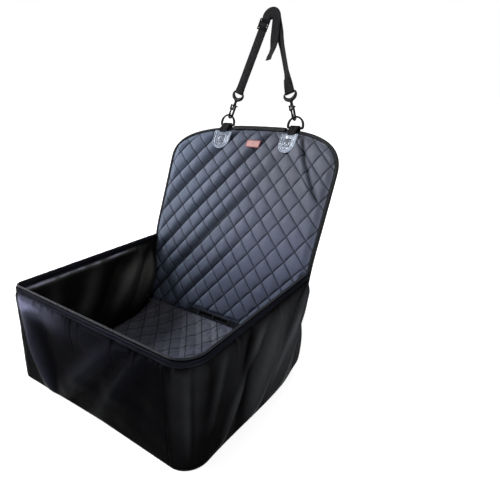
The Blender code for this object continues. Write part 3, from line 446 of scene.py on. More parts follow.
fibre_board = Finish("fibre_board", (0.60, 0.60, 0.58), 0.55)
grain = fibre_board.speckle(90.0, 6.0)
fibre_board.set("Base Color", fibre_board.blend(grain, (0.54, 0.54, 0.52), (0.64, 0.64, 0.62)))
fibre_board.set("Roughness", 0.45 + grain * 0.2)
fibre_board.relief(grain, 0.0001)
wall_boards = ["left_wall_board", "front_wall_board", "right_wall_board"]
for node in ("base_board", *wall_boards):
    refinish(node, fibre_board)

# Walls of the tub
# Black coated cloth hangs over a stiff board on each of three sides, sewn to the base and gathered under the
# hem, so that it puckers there and falls in long folds. The lining inside is the same cloth, with more slack.

rim_half, rim_rear_half, rim_reach = 0.260, 0.245, 0.328
rim_height, rim_rear_height = 0.215, 0.200
hem_depth = 0.0095
lower_lean, upper_lean = math.radians(19.7), math.radians(28.4)
binding_radius, quilt_base = 0.0045, 0.006
wall_foot = underside_thick + touch + soft_gap
cloth_out = board / 2 + touch + cloth_thick / 2


def wall_rear(z):
    """Where a side wall ends at its rear: a straight line that leans back with the backrest."""
    gap = quilt_base / 2 - binding_radius - touch
    return (z - crease_z) * math.tan(lower_lean) + gap / math.cos(lower_lean)


def rim_z(y):
    """The rim's height: a straight line from the front down to the rear."""
    rear = wall_rear(rim_rear_height)
    return between(rim_height, rim_rear_height, (y + rim_reach) / (rear + rim_reach))


def wall_point(s, share, out):
    """Points of the walls: s runs from 0 at the left rear end through the left front corner (1 to 2) and the
    right one (3 to 4) to 5 at the right rear end, share goes up from base to rim, and out is along the normal.
    A side is a straight line in plan, a corner a quarter circle, and the height is in line between both."""
    s, share, out = matched(s, share, out)
    front_half, rear_half = between(base_half, rim_half, share), between(base_rear_half, rim_rear_half, share)
    front, rear = -between(base_reach, rim_reach, share), wall_rear(between(lift + wall_foot, rim_rear_height, share))
    side = np.where(s > 2.5, 1.0, -1.0)
    radius = np.where(s > 2.5, corner_radius[1], corner_radius[-1])
    along = np.where(s > 2.5, 5 - s, s)
    corner_y = front + radius
    run = np.clip(along, 0, 1)
    slope = (front_half - rear_half) / (rear - corner_y)
    long = np.sqrt(1 + slope**2)
    angle = np.clip(along - 1, 0, 1) * math.pi / 2
    straight, turning = along <= 1, along < 2
    normal_x = np.where(straight, 1 / long, np.where(turning, np.cos(angle), 0.0))
    normal_y = np.where(straight, -slope / long, np.where(turning, -np.sin(angle), -1.0))
    x = np.where(straight, between(rear_half, front_half, run), front_half - radius + radius * np.cos(angle))
    x = np.where(turning, x, (front_half - radius) * (5 - 2 * along))
    y = np.where(straight, between(rear, corner_y, run), corner_y - radius * np.sin(angle))
    x, y = x + normal_x * out, y + normal_y * out
    z = between(wall_foot + base_rise(y), rim_z(y), share)
    return np.stack([side * x, y, z], -1)


def hem_share(drop):
    """The share of a wall's height that is left at a drop below its rim."""
    return 1 - drop / rim_height


hem_edge = hem_share(hem_depth)


def drop_below(share):
    """How far down from the hem's lower edge, in metres."""
    return (hem_edge - share) * rim_height


def place_of(s, share):
    """Where a point of the walls is on the whole seat."""
    return wall_point(s, share, 0.0) + (0.0, crease_y, 0.0)


def hang(share):
    """The cloth's freedom to hang out: none at its foot and at its hem, most between them."""
    return np.sin(math.pi * np.clip(share / hem_edge, 0, 1)) ** 0.6


def fold(place, share, foot, top, width, depth, low=-0.2, high=1.2):
    """One fold: a bell across a straight line from foot, at the base, to top, near the hem. A negative depth
    makes it a valley. It fades in above the share low of the height and out below the share high."""
    middle = between(foot, top, share / 0.93)
    held = ease((share - low) / 0.22) * ease((high - share) / 0.22)
    return depth * bell(place - middle, width) * held


def folds(place, share, rows):
    """All the folds of a cloth, added up."""
    return sum(fold(place, share, *row) for row in rows)


# Each row is a fold's foot, top, width and depth in metres, and any share of the height where it starts or ends.
bright_fold = (-0.145, -0.252)
front_folds = (
    (*bright_fold, 0.020, 0.0130), (-0.112, -0.172, 0.022, -0.0030), (-0.124, 0.100, 0.034, 0.0120),
    (-0.080, 0.142, 0.020, -0.0040), (0.010, 0.155, 0.024, 0.0110), (0.105, 0.200, 0.026, -0.0025),
)
side_folds = (
    (-0.212, -0.152, 0.016, -0.0090), (-0.150, 0.053, 0.013, -0.0110), (-0.025, 0.082, 0.011, -0.0090),
    (-0.306, -0.264, 0.015, -0.0030), (-0.272, -0.112, 0.012, 0.0070, -0.2, 1.05),
    (-0.318, -0.233, 0.010, 0.0045, 0.20), (-0.177, -0.041, 0.026, 0.0090), (-0.087, 0.064, 0.016, 0.0070),
)
lining_folds = (
    (-0.235, -0.120, 0.026, 0.0085), (-0.150, 0.020, 0.024, 0.0100), (-0.290, -0.235, 0.020, 0.0060),
    (-0.050, 0.060, 0.018, 0.0070), (-0.190, -0.055, 0.013, -0.0060), (-0.095, 0.045, 0.012, -0.0060),
)
wall_stations = np.linspace(0, 5, 1001)
wall_run = run_along(*wall_point(wall_stations, 1.0, 0.0).T)
front_foot, deepest_slack, outer_dents, lining_dents, seam_station = 0.011, 0.023, 80, 60, 3.60


def run_of(s):
    """How far round the rim a point is, in metres, from the left rear end."""
    return np.interp(s, wall_stations, wall_run)


def gathers(run, share, seed, dent_count):
    """What the hem's stitching does to the cloth just under it: a small puff all along, cut by dents at random
    places. Each dent is a bell across and dies out down the cloth."""
    dice = np.random.default_rng(seed)
    place = dice.uniform(0, 1.7, dent_count)
    wide, long = dice.uniform(0.0022, 0.0048, dent_count), dice.uniform(0.007, 0.024, dent_count)
    deep = dice.uniform(0.0015, 0.0052, dent_count)
    drop = np.clip(drop_below(share), 0, 1)
    puff = 0.0058 * (1 - np.exp(-drop / 0.006)) * np.exp(-drop / 0.055)
    return puff - (bell(run[..., None] - place, wide) * np.exp(-drop[..., None] / long) * deep).sum(-1)


def front_drape(x, share):
    """Folds of the front cloth: two broad ones climb to the right, and a narrower one drops from the left. It
    bulges a little under the hem's left half."""
    under = 0.0045 * bell(drop_below(share) - 0.030, 0.020) * ease((0.06 - x) / 0.10)
    return folds(x, share, front_folds) + under + 0.0030


def side_drape(y, share):
    """Folds of a side cloth: a billow that swells towards the rear, cut by sharp valleys that lean back as they
    rise, with softer ridges between them."""
    return 0.0042 + 0.0080 * ease((y + 0.24) / 0.16) + folds(y, share, side_folds)


def outer_painted_sheen(s, share, depth):
    """Painted sheen of the outer cloth, 0 to 1 and over: painted highlights on its ridges and along the bright fold,
    lighter towards the hem and on the left of the front, most on the bulge under the hem's left half, and least at
    the right foot of the front. On the sides it follows the ridges, rises with the height and fades towards the right
    wall's rear."""
    x, front = place_of(s, share)[..., 0], (s > 2) & (s < 3)
    ridges = ease((depth - 0.002) / 0.016)
    at_front = (0.05 + 0.95 * share**1.7) * between(1.0, 0.22, ease((x + 0.15) / 0.26)) * between(0.10, 1.0, ridges)
    at_front = at_front + 1.35 * bell(drop_below(share) - 0.020, 0.022) * ease((-0.04 - x) / 0.15)
    at_front = at_front + 0.60 * fold(x, share, *bright_fold, 0.016, 1.0)
    at_side = (0.72 + 0.30 * share) * between(0.04, 1.0, ridges) * between(1.75, 0.85, ease((s - 3.5) / 1.2))
    from_corner = np.minimum(np.abs(s - 2), np.abs(s - 3)) / 0.2
    return np.where(front, at_front, between(at_front, at_side, ease(from_corner)))


def outer_depth(s, share):
    """How far the outer cloth hangs out: its folds, even round the corners, a seam on the right wall, the hem's
    gathers, and a foot that flares to the rear and to the left."""
    place, run = place_of(s, share), run_of(s)
    x, y = place[..., 0], place[..., 1]
    drape = np.where((s > 2) & (s < 3), front_drape(x, share), side_drape(y, share))
    corner = np.minimum(np.abs(s - 2.0) / 0.10, np.abs(s - 3.0) / 0.16)
    turning = np.where(s < 2, np.abs(s - 2.0) / 0.4, np.where(s > 3, np.abs(s - 3.0) / 0.6, corner))
    drape = between(0.0030, drape, ease(turning))
    drift = 0.0010 * wander(run, share * rim_height, 3, 0.09)
    from_seam = run - run_of(seam_station)
    seam = 0.0016 * bell(from_seam + 0.008, 0.006) - 0.0020 * bell(from_seam, 0.0035)
    depth = hang(share) * (drape + drift + seam) + gathers(run, share, 11, outer_dents)
    flare = rear_flare(y) * (np.abs(x) > 0.2) + front_foot * np.clip((0.06 - x) / 0.30, 0, 1) * front_share(y)
    depth = np.clip(depth, 0.0, deepest_slack) + flare * (1 - np.clip(share / 0.75, 0, 1)) ** 1.5
    return depth * ease(np.minimum(s, 5 - s) / 0.022)


def lining_depth(s, share):
    """The lining's slack: long folds that lean to the rear as they rise, a sag at each rear corner, a roll
    under the hem, and the hem's gathers."""
    run, along, y = run_of(s), np.minimum(s, 5 - s), place_of(s, share)[..., 1]
    across = 0.006 + 0.004 * np.sin(2 * math.pi * (run / 0.135 + 0.75 * share))
    slack = np.where((s > 2) & (s < 3), across, 0.0045 + folds(y, share, lining_folds))
    slack = slack + 0.0012 * wander(run, share * rim_height, 21, 0.07)
    sag = (1 - ease((along - 0.06) / 0.40)) * np.sin(math.pi * np.clip(share / 0.80, 0, 1)) ** 1.2
    drop = np.clip(drop_below(share), 0, 1)
    roll = 0.0085 * (1 - np.exp(-drop / 0.0045)) * np.exp(-drop / 0.016)
    depth = hang(share) * slack + 0.022 * sag + roll + 0.3 * gathers(run, share, 31, lining_dents)
    return np.clip(depth, 0, 1) * ease(along / 0.06)


def lining_painted_sheen(s, share, depth):
    """Painted sheen of the lining: painted highlights on its folds, lighter towards the hem, and most along the roll
    under the hem on the left, as a painted highlight.
    """
    rolled = bell(drop_below(share) - 0.0035, 0.0050) * (s < 2) * ease((s - 0.12) / 0.2)
    uneven = 0.85 + 0.20 * wander(run_of(s), 0 * share, 33, 0.06)
    return ease((depth - 0.004) / 0.014) * between(0.35, 0.9, ease(share / 0.8)) + 2.0 * rolled * uneven


def coated_cloth(name, dark, light, painted_highlight, roughness, edge, metallic=0.85):
    """Black cloth with a thin satin coat, going from dark to light and then to a painted highlight where it bulges,
    as its mark of wear and painted sheen rises, varied by random worn patches: a fine weave, faint creases, and an
    uneven gloss. The gloss is a dark metal's, and edge dims it where it is seen at a slant, so that the cloth stays
    black."""
    tint = (edge, edge, edge, 1.0)
    made = Finish(name, dark, roughness, metallic=metallic, specular_tint=tint, specular_ior_level=0.02)
    patches, worn = made.speckle(7.0, 3.0), made.speckle(70.0, 4.0)
    # The mark holds painted light and painted highlights on the walls and the lining, and random lighter tone on the
    # hem band.
    wear_and_painted_sheen = made.marked("wear_and_painted_sheen") * (0.85 + (patches - 0.5) * 0.8 + (worn - 0.5) * 0.35)
    tone = made.blend(wear_and_painted_sheen.under(1.0), dark, light)
    made.set("Base Color", made.blend((wear_and_painted_sheen - 1.0).eased(0.0, 0.8), tone, painted_highlight))
    made.set("Roughness", roughness - 0.05 + patches * 0.08 + (worn - 0.5) * 0.08)
    made.relief(made.speckle(16.0, 3.0), 0.0007, 0.5)
    made.relief(worn, 0.00010, 0.6)
    made.weave(0.00055, 0.00005)
    return made


# The front and the sides are copies of one black cloth, set apart in tones, roughness and edge as painted light: the
# front darker with a bluish painted highlight, the sides brighter at a slant. The lining's last tone is a bluish
# painted highlight too.
front_cloth = coated_cloth(
    "front_cloth", (0.0016, 0.0017, 0.0022), (0.0260, 0.0270, 0.0390), (0.115, 0.120, 0.185), 0.46, 0.464
)
side_cloth = coated_cloth(
    "side_cloth", (0.0015, 0.0015, 0.0017), (0.0330, 0.0340, 0.0370), (0.075, 0.078, 0.088), 0.44, 0.474
)
lining_cloth = coated_cloth(
    "lining_cloth", (0.0050, 0.0050, 0.0046), (0.0460, 0.0460, 0.0440), (0.200, 0.205, 0.260), 0.50, 0.45, 0.35
)
wall_rows, tucked_rows = 84, 6


def wall_cloth(name, start, end, columns, way, depth, painted_sheen):
    """The cloth of one wall, outside with way 1 and inside with -1, its top tucked flat under the hem. The
    rows of points stand closer towards the hem."""
    heights = (1 - (1 - np.linspace(0, 1, wall_rows)) ** 1.25) * hem_edge
    tucked = hem_share(np.linspace(hem_depth - 0.0003, 0.0024, tucked_rows))
    s, share = np.meshgrid(np.linspace(start, end, columns), np.concatenate([heights, tucked]))
    slack = depth(s, share)
    sink = np.where(way > 0, 0.35 * base_rise(wall_point(s, 0.0, 0.0)[..., 1]) * (1 - share) ** 2, 0.0)
    points = wall_point(s, share, way * (cloth_out + slack * (share <= hem_edge))) - sink[..., None] * (0, 0, 1)
    piece = surface(name, points, flat_cloth(points), turned=way < 0)
    mark(piece.data, "wear_and_painted_sheen", np.clip(painted_sheen(s, share, slack), 0, 2))
    return thicken(piece, cloth_thick)


seam, wall_cloth_height = soft_gap / rim_half, 0.214
for wall, start, end, columns, width in (
    ("left_wall", 0, 2, 230, 0.42), ("front_wall", 2 + seam, 3 - seam, 260, 0.46), ("right_wall", 3, 5, 280, 0.45),
):
    outer = wall_cloth(wall + "_outer_cloth", start, end, columns, 1, outer_depth, outer_painted_sheen)
    sew_on(outer, front_cloth if wall == "front_wall" else side_cloth, "tub", "black_cloth", wall + "_outer")
    inner = wall_cloth(wall + "_inner_cloth", start, end, columns, -1, lining_depth, lining_painted_sheen)
    sew_on(inner, lining_cloth, "tub", "lining_cloth", wall + "_lining")

# Rim
# A band of the same cloth is folded over the tops of the walls and sewn through along its lower edges. A
# corded piping runs along its crest.

leg = cloth_out + cloth_thick / 2 + touch + hem_thick / 2
crest = hem_thick / 2
turn = np.linspace(0, math.pi, 15)
down = np.linspace(hem_depth, crest + 0.001, 14)
rolled = 0.0006 * bell(down - hem_depth + 0.001, 0.0012) - 0.0004 * bell(down - hem_depth + 0.0036, 0.0009)
section_out = np.concatenate([leg + rolled, leg * np.cos(turn[1:-1]), -leg - rolled[::-1]])
section_drop = np.concatenate([down, crest * (1 - np.sin(turn[1:-1])), down[::-1]])


def uneven_lines(edges, counts):
    """Places from the first edge to the last, with a count of even steps from each edge to the next."""
    steps = [np.linspace(low, high, count, endpoint=False) for low, high, count in zip(edges, edges[1:], counts)]
    return np.append(np.concatenate(steps), edges[-1])


stations = uneven_lines(range(6), (90, 20, 110, 34, 89))
s, drop = np.meshgrid(stations, section_drop)
out = np.repeat(section_out[:, None], stations.size, 1)
run = run_of(s)
wave = 0.0005 * wander(run, drop, 41, 0.05) + 0.0004 * wander(run, drop, 42, 0.02)
points = wall_point(s, hem_share(drop), out + np.sign(out) * (wave * ease(drop / 0.008) + 0.0002))
flat = np.repeat(run_along(section_out, section_drop)[:, None], stations.size, 1)
rim_band = thicken(surface("rim_band", points, np.stack([run, flat], -1)), hem_thick)
# The hem band's mark: lighter at random, and lighter along its lower edge.
mark(rim_band.data, "wear_and_painted_sheen", 0.18 + 0.10 * wander(run, drop, 43, 0.06) + 0.5 * bell(drop - hem_depth, 0.0012))
hem_cloth = coated_cloth(
    "hem_cloth", (0.0030, 0.0032, 0.0045), (0.0200, 0.0210, 0.0300), (0.0400, 0.0420, 0.0600), 0.45, 0.47
)
half_flat, stitch_from_edge, stitch_length = float(flat.max()) / 2, 0.0035, 0.0034
across, along = hem_cloth.cloth()
stitches = abs(along - half_flat).line(half_flat - stitch_from_edge, 0.0003, 0.0009)
hem_cloth.relief(stitches * (across / stitch_length).from_whole().eased(0.06, 0.14), 0.0003)
sew_on(rim_band, hem_cloth, "tub", "black_cloth", "rim_hem")


def rings(path, radius, sides, level, closed=False):
    """Rings of points round a path, square to its direction, which comes from the neighbouring points. level is
    the direction that each ring's first point is turned to."""
    path = np.asarray(path, float)
    ahead = unit(np.roll(path, -1, axis=0) - np.roll(path, 1, axis=0) if closed else np.gradient(path, axis=0))
    level = np.broadcast_to(np.asarray(level, float), path.shape)
    first = unit(level - (level * ahead).sum(1)[:, None] * ahead)
    angle = np.linspace(0, 2 * math.pi, sides, endpoint=False)[None, :, None]
    radius = np.broadcast_to(np.asarray(radius, float), len(path))[:, None, None]
    return path[:, None] + radius * (np.cos(angle) * first[:, None] + np.sin(angle) * np.cross(ahead, first)[:, None])


piping_radius, piping_sides = 0.0023, 16
path = wall_point(stations, 1.0, 0.0) + (0, 0, hem_thick / 2 + touch + piping_radius)
path[:, 2] += 0.0002 * wander(run_of(stations), 0 * stations, 51, 0.03)
flat = flat_grid(np.linspace(0, 2 * math.pi * piping_radius, piping_sides + 1), run_along(*path.T))
points = rings(path, piping_radius, piping_sides, (0, 0, 1))
piping = surface("rim_cord", points, flat, round_columns=True, ends=True)
piping_cloth = Finish("piping_cloth", (0.016, 0.017, 0.022), 0.42, specular_ior_level=0.07)
around, along = piping_cloth.cloth()
piping_cloth.relief((along + around * 0.6).stripes(0.0016), 0.00012)
worn = piping_cloth.speckle(120.0, 4.0)
piping_cloth.set("Base Color", piping_cloth.blend(worn, (0.012, 0.013, 0.017), (0.024, 0.025, 0.032)))
piping_cloth.set("Roughness", 0.30 + worn * 0.18)
sew_on(piping, piping_cloth, "tub", "binding", "rim_piping")

# Quilting
# Seat and backrest are a smooth grey-blue cloth over wadding, stitched through in diamonds. Each diamond
# swells between its stitches; on the backrest the lines that climb to the right are pulled deeper.

diamond_width, diamond_height, steps_per_diamond = 0.052, 0.058, 24
quilt_crown, dashes_per_diamond, puckers_per_diamond = 0.006, 11.0, 9.0
panel_top, corner_start, fold_height, fold_soft = 0.531, 0.419, 0.2103, 0.045
low_half, full_half, corner_power = 0.243, 0.259, 2.38
bow_depth, bow_power = 0.045, 1.3
strip_low, strip_high = 0.0066, 0.0297
quilt_inset = 2 * binding_radius + touch

lean_run = np.linspace(-0.02, 0.58, 2401)
lean_of_run = between(lower_lean, upper_lean, ease((lean_run - fold_height) / (2 * fold_soft) + 0.5))
rear_run = np.cumsum(np.sin(lean_of_run)) * (lean_run[1] - lean_run[0])
rise_run = np.cumsum(np.cos(lean_of_run)) * (lean_run[1] - lean_run[0])
rear_run -= np.interp(0.0, lean_run, rear_run)
rise_run -= np.interp(0.0, lean_run, rise_run)


def panel_point(u, v, w):
    """Points of the backrest: u across, v up its slope from the crease, w to its rear. The slope leans back
    more above the fold, found by summing up its lean, and its middle bows to the rear towards the top."""
    u, v, w = matched(u, v, w)
    above = np.clip((v - fold_height) / (panel_top - fold_height), 0, 1.2)
    back = w + bow_depth * np.minimum(above, 1.0) ** bow_power * (1 - (u / full_half) ** 2)
    lean = np.interp(v, lean_run, lean_of_run)
    y = np.interp(v, lean_run, rear_run) + back * np.cos(lean)
    z = np.interp(v, lean_run, rise_run) - back * np.sin(lean)
    return np.stack([u, y, crease_z + z], -1)


def panel_half(v):
    """Half the backrest's width at v: a straight change up to where its corners start."""
    return between(low_half, full_half, np.clip(v / corner_start, 0, 1))


def panel_top_at(u, inset=0.0):
    """The backrest's upper edge over u, an inset inside it: a superellipse of the power corner_power."""
    share = np.clip(np.abs(u) / (full_half - inset), 0, 1) ** corner_power
    return between(corner_start, panel_top - inset, (1 - share) ** (1 / corner_power))


half_gap = 0.5 / math.hypot(1 / diamond_width, 1 / diamond_height)


def stitch_lines(u, v):
    """The numbers of the stitch lines that fall and climb to the right: whole ones on the lines."""
    return u / diamond_width + v / diamond_height, u / diamond_width - v / diamond_height


def pillow(distance, sharp):
    """How far the cloth has risen at a distance from a stitch line, 0 at it and 1 midway to the next."""
    return np.sin(np.clip(distance / half_gap, 0, 1) * math.pi / 2) ** sharp


def quilt_height(u, v, seed, fall_depth, climb_depth):
    """Height of the padding over its stitches: pillows between both sets of lines, each diamond swollen a
    little differently, with small wrinkles. The depths, 0 to 1, say how far each set of lines is pulled in."""
    lines = stitch_lines(u, v)
    falling, climbing = (np.abs(line - np.round(line)) * 2 * half_gap for line in lines)
    dice = np.random.default_rng(seed).uniform(0.82, 1.12, (64, 64))
    own = dice[tuple((np.floor(line) % 64).astype(int) for line in lines)]
    swell = 1 - fall_depth * (1 - pillow(falling, 0.42))
    swell = swell * (1 - climb_depth * (1 - pillow(climbing, 0.36)))
    wrinkle = 0.05 * wander(u, v, seed + 1, 0.020) + 0.02 * wander(u, v, seed + 2, 0.009)
    return swell * (own + wrinkle * np.minimum(1, 2 * swell))


def quilted(name, u, v, keep, place, crown, base, drawn, slid=0.0):
    """A closed quilted pad over a lattice of u and v whose cells are split along the stitch lines. crown is the
    height of its front, base the depth of its back, and place lays u, v and depth in space. drawn, 0 to 1, is kept
    with each point under the same name: how far the cloth is drawn into a fold there, which its finish paints as
    shade. slid is how far its stitches have slid along u."""
    rows, columns = u.shape
    index = np.arange(rows * columns).reshape(rows, columns)
    a, b, c, d = index[:-1, :-1], index[:-1, 1:], index[1:, 1:], index[1:, :-1]
    kept = keep[:-1, :-1] | keep[:-1, 1:] | keep[1:, 1:] | keep[1:, :-1]
    row, column = np.meshgrid(np.arange(rows - 1), np.arange(columns - 1), indexing="ij")
    falls = (row + lattice_shift[0] + column + lattice_shift[1] + 1) % steps_per_diamond == 0
    one = np.where(falls[..., None], np.stack([a, b, d], -1), np.stack([a, b, c], -1))
    two = np.where(falls[..., None], np.stack([b, c, d], -1), np.stack([a, c, d], -1))
    face = np.concatenate([one[kept], two[kept]])
    used, face = np.unique(face, return_inverse=True)
    face = face.reshape(-1, 3)
    values = (u, v, crown, drawn, slid)
    u, v, crown, drawn, slid = (np.broadcast_to(value, index.shape).ravel()[used] for value in values)
    edges = np.concatenate([face[:, [0, 1]], face[:, [1, 2]], face[:, [2, 0]]])
    keys = edges[:, 0] * (len(used) + 1) + edges[:, 1]
    back_keys = edges[:, 1] * (len(used) + 1) + edges[:, 0]
    border = edges[~np.isin(keys, back_keys)]
    count = len(used)
    side = np.concatenate([
        np.stack([border[:, 1], border[:, 0], border[:, 0] + count], -1),
        np.stack([border[:, 1], border[:, 0] + count, border[:, 1] + count], -1),
    ])
    faces = np.concatenate([face, face[:, ::-1] + count, side])
    points = np.concatenate([place(u, v, -crown), place(u, v, np.full(count, base))])
    mesh = bpy.data.meshes.new(name)
    mesh.from_pydata((points + (0.0, crease_y, 0.0)).tolist(), [], faces.tolist())
    layer = mesh.uv_layers.new(name="cloth")
    flat = np.tile(np.stack([u - slid, v], -1), (2, 1))[faces.ravel()].astype(np.float32)
    layer.data.foreach_set("uv", flat.ravel())
    mark(mesh, "drawn", np.tile(np.clip(drawn, 0, 1), 2))
    mesh.shade_smooth()
    return stand(name, mesh)


def lattice(half, low, high, spare=0):
    """Points of u and v on the diamonds' own lattice, with the last lines drawn to the pad's edges unless
    there are spare columns beyond them."""
    step_u, step_v = diamond_width / steps_per_diamond, diamond_height / steps_per_diamond
    wide = math.ceil(half / step_u - 0.35) + spare
    first, last = math.floor(low / step_v + 0.35), math.ceil(high / step_v - 0.35)
    u = np.arange(-wide, wide + 1) * step_u
    v = np.arange(first, last + 1) * step_v
    v[0], v[-1] = low, high
    if not spare:
        u[0], u[-1] = -half, half
    return (*np.meshgrid(u, v), (first, -wide))


def quilted_cloth(name, tones, roughness):
    """Smooth satin cloth with sunk stitches: thread by thread along the lines, and a fine weave between. Its tones
    are those at the low left, low right, high left and high right of the piece, blended across it as painted light
    and shade. Its colour is darkened along the stitch lines and in the folds that its points mark as drawn: painted
    shade."""
    made = Finish(name, tones[0], roughness, specular_ior_level=0.16)
    across, along = made.cloth()
    falling, climbing = stitch_lines(across, along)
    shadow = 0.0
    for line, run in ((falling, climbing), (climbing, falling)):
        away = line.from_whole() * (2 * half_gap)
        dash = (run * dashes_per_diamond).from_whole().eased(0.05, 0.16)
        made.relief(away.line(0.0, 0.00035, 0.00085) * dash, 0.0004)
        shadow = away.line(0.0, 0.0005, 0.0026).over(shadow)
        pucker = (run * (math.pi * 2 * puckers_per_diamond) + line * 3.0).sine() * away.line(0.0, 0.001, 0.009)
        made.relief(pucker * 0.5 + 0.5, 0.0003)
    fold_shade = made.marked("drawn")
    patches, fine = made.speckle(11.0, 3.0), made.speckle(150.0, 4.0)
    rightward, upward = (across + 0.05).eased(-0.20, 0.26), along.eased(0.10, 0.50)
    low, high = made.blend(rightward, tones[0], tones[1]), made.blend(rightward, tones[2], tones[3])
    tone = made.blend(upward, low, high)
    tone = made.blend(patches.eased(0.3, 0.7) * 0.25, tone, shade(tones[0], 1.5))
    # Painted shade: the stitch lines' shadow and the drawn folds darken the colour towards near black.
    sunk = 1 - (1 - shadow * 0.82) * (1 - fold_shade * 0.74)
    made.set("Base Color", made.blend(sunk, tone, shade(tones[1], 0.10)))
    made.set("Roughness", roughness - 0.06 + fine * 0.10 + sunk * 0.15)
    made.relief(made.speckle(45.0, 4.0), 0.0008, 0.5)
    made.weave(0.0006, 0.00005)
    return made


# Painted light: the backrest's tones differ by corner, lightest and bluest at the low right and high left, and
# greyest at the high right.
back_tones_and_painted_light = ((0.070, 0.086, 0.124), (0.094, 0.112, 0.172), (0.100, 0.128, 0.190), (0.080, 0.082, 0.104))
quilt_cloth = quilted_cloth("quilted_cloth", back_tones_and_painted_light, 0.55)

pad_foot, tape_half = 0.0085, 0.080
slide_lean, slide_from = -0.22, 0.19
u_stitch, v, lattice_shift = lattice(full_half - quilt_inset, pad_foot, panel_top - quilt_inset, 36)


def slid_at(v):
    """How far the stitch lines have slid to the left above the fold, where the cloth was sewn askew."""
    above = np.clip(v - slide_from, 0, 1)
    return slide_lean * above**2 / (above + 0.04)


u = u_stitch + slid_at(v)
high_reach = panel_top - quilt_inset - corner_start
wide_reach = full_half - quilt_inset
round_out = (np.abs(u) / wide_reach) ** corner_power + (np.clip(v - corner_start, 0, 1) / high_reach) ** corner_power
inside = np.where(v > corner_start, round_out <= 1, np.abs(u) <= panel_half(v) - quilt_inset)
inside = inside & ((np.abs(u) > tape_half - 0.003) | (v > strip_high - 0.001))
pull = np.where(v > corner_start, np.maximum(round_out, 1) ** (-1 / corner_power), 1.0)
u_in = np.where(v > corner_start, u * pull, np.clip(u, -panel_half(v) + quilt_inset, panel_half(v) - quilt_inset))
v_in = np.where(v > corner_start, corner_start + (v - corner_start) * pull, v)

left_share = ease((0.10 - u) / 0.22)
high_share = ease((v - 0.16) / 0.16)
fall_depth = between(0.95, 0.45, left_share * between(0.45, 1.0, high_share))
climb_depth = between(0.72, 0.90, left_share)
height = quilt_height(u_stitch, v, 61, fall_depth, climb_depth)
# The climbing stitch lines that are pulled into valleys: each line's number, and its valley's depth and width.
valleys = (
    (-5, 0.0105, 0.013), (-6, 0.0024, 0.006), (-7, 0.0080, 0.010), (-8, 0.0018, 0.006), (-9, 0.0085, 0.012),
    (-10, 0.0035, 0.008), (-4, 0.0018, 0.006), (-3, 0.0050, 0.009), (-2, 0.0012, 0.006),
)
# The pinch, 0 to 1, is kept only to darken the cloth in the deep valleys and the crease: painted shade.
drawn, painted_fold_shade = 0.0, 0.0
for line, depth, wide in valleys:
    away = (stitch_lines(u_stitch, v)[1] - line) * 2 * half_gap
    reach = ease((0.15 - u + 0.25 * (line < -6)) / 0.20) * ease((v + 0.03) / 0.06)
    valley = reach * bell(away, np.where(away < 0, wide, 0.0050))
    drawn, painted_fold_shade = drawn + depth * valley, np.maximum(painted_fold_shade, valley * depth / 0.0100)
# The long crease that runs up from the right edge to the right ring, as heights and places across.
crease_rise, crease_across = (0.30, 0.333, 0.367, 0.438, 0.498, 0.53), (0.262, 0.238, 0.215, 0.166, 0.139, 0.130)
crease_u = np.interp(v, crease_rise, crease_across)
crease_away = u - crease_u + 0.0012 * np.sin(v * 70)
crease_hold = ease((v - 0.33) / 0.05)
valley = bell(crease_away, np.where(crease_away < 0, 0.0035, 0.0070)) * crease_hold
drawn, painted_fold_shade = drawn + 0.0060 * valley, np.maximum(painted_fold_shade, valley * 0.8)
drawn = drawn - 0.0030 * bell(crease_away + 0.014, 0.010) * crease_hold
edge_soft, foot_soft, tape_soft = 0.018, 0.014, 0.012
back_crown, crown_limits, fold_reach = 0.0072, (-0.0038, 0.0095), 0.022
side = (panel_half(v_in) - quilt_inset - np.abs(u_in)) / edge_soft
top = (panel_top_at(u_in) - quilt_inset - v_in) / edge_soft
hold = ease(np.minimum(np.minimum(side, top), (v_in - pad_foot) / foot_soft))
tape_near = np.maximum(np.abs(u) - tape_half, v - strip_high) / tape_soft
crown = np.clip((back_crown * between(0.30, 1.0, height) - drawn) * hold * ease(tape_near), *crown_limits)
back_quilt = quilted("back_quilt", u_in, v_in, inside, panel_point, crown, quilt_base, painted_fold_shade, slid_at(v_in))
sew_on(back_quilt, quilt_cloth, "fold", "quilted_cloth", "lower_back_quilt", "upper_back_quilt")

seat_front, seat_rear, seat_half = -base_reach + 0.018, -0.0005, base_rear_half - 0.018
seat_lift = underside_thick + touch + board + touch
u, v, lattice_shift = lattice(seat_half, 0.0, seat_rear - seat_front)


def seat_point(u, v, w):
    """Points of the seat pad: u across, v from its front, w down, over the underside's rise."""
    y = seat_front + v
    return np.stack([u, y, seat_lift + base_rise(y) + quilt_base - w], -1)


corner = corner_radius[1]
over_u, over_v = np.clip(np.abs(u) - (seat_half - corner), 0, 1), np.clip(corner - v, 0, 1)
reach = np.hypot(over_u, over_v)
shrink = np.where(reach > corner, corner / np.maximum(reach, 1e-9), 1.0)
u_in = np.sign(u) * (np.minimum(np.abs(u), seat_half - corner) + over_u * shrink)
v_in = np.where(v < corner, corner - over_v * shrink, v)
inside = (reach <= corner) | (over_v <= 0) | (over_u <= 0)
edge = np.minimum(np.minimum(seat_half - np.abs(u_in), v_in), seat_rear - seat_front - v_in)
height = quilt_height(u, v + 0.021, 71, 0.90, 0.95)
slack = 0.10 * wander(u, v, 73, 0.018) + 0.12 * wander(u * 0.6, v, 74, 0.040) + 0.10 * wander(u, v * 0.5, 75, 0.030)
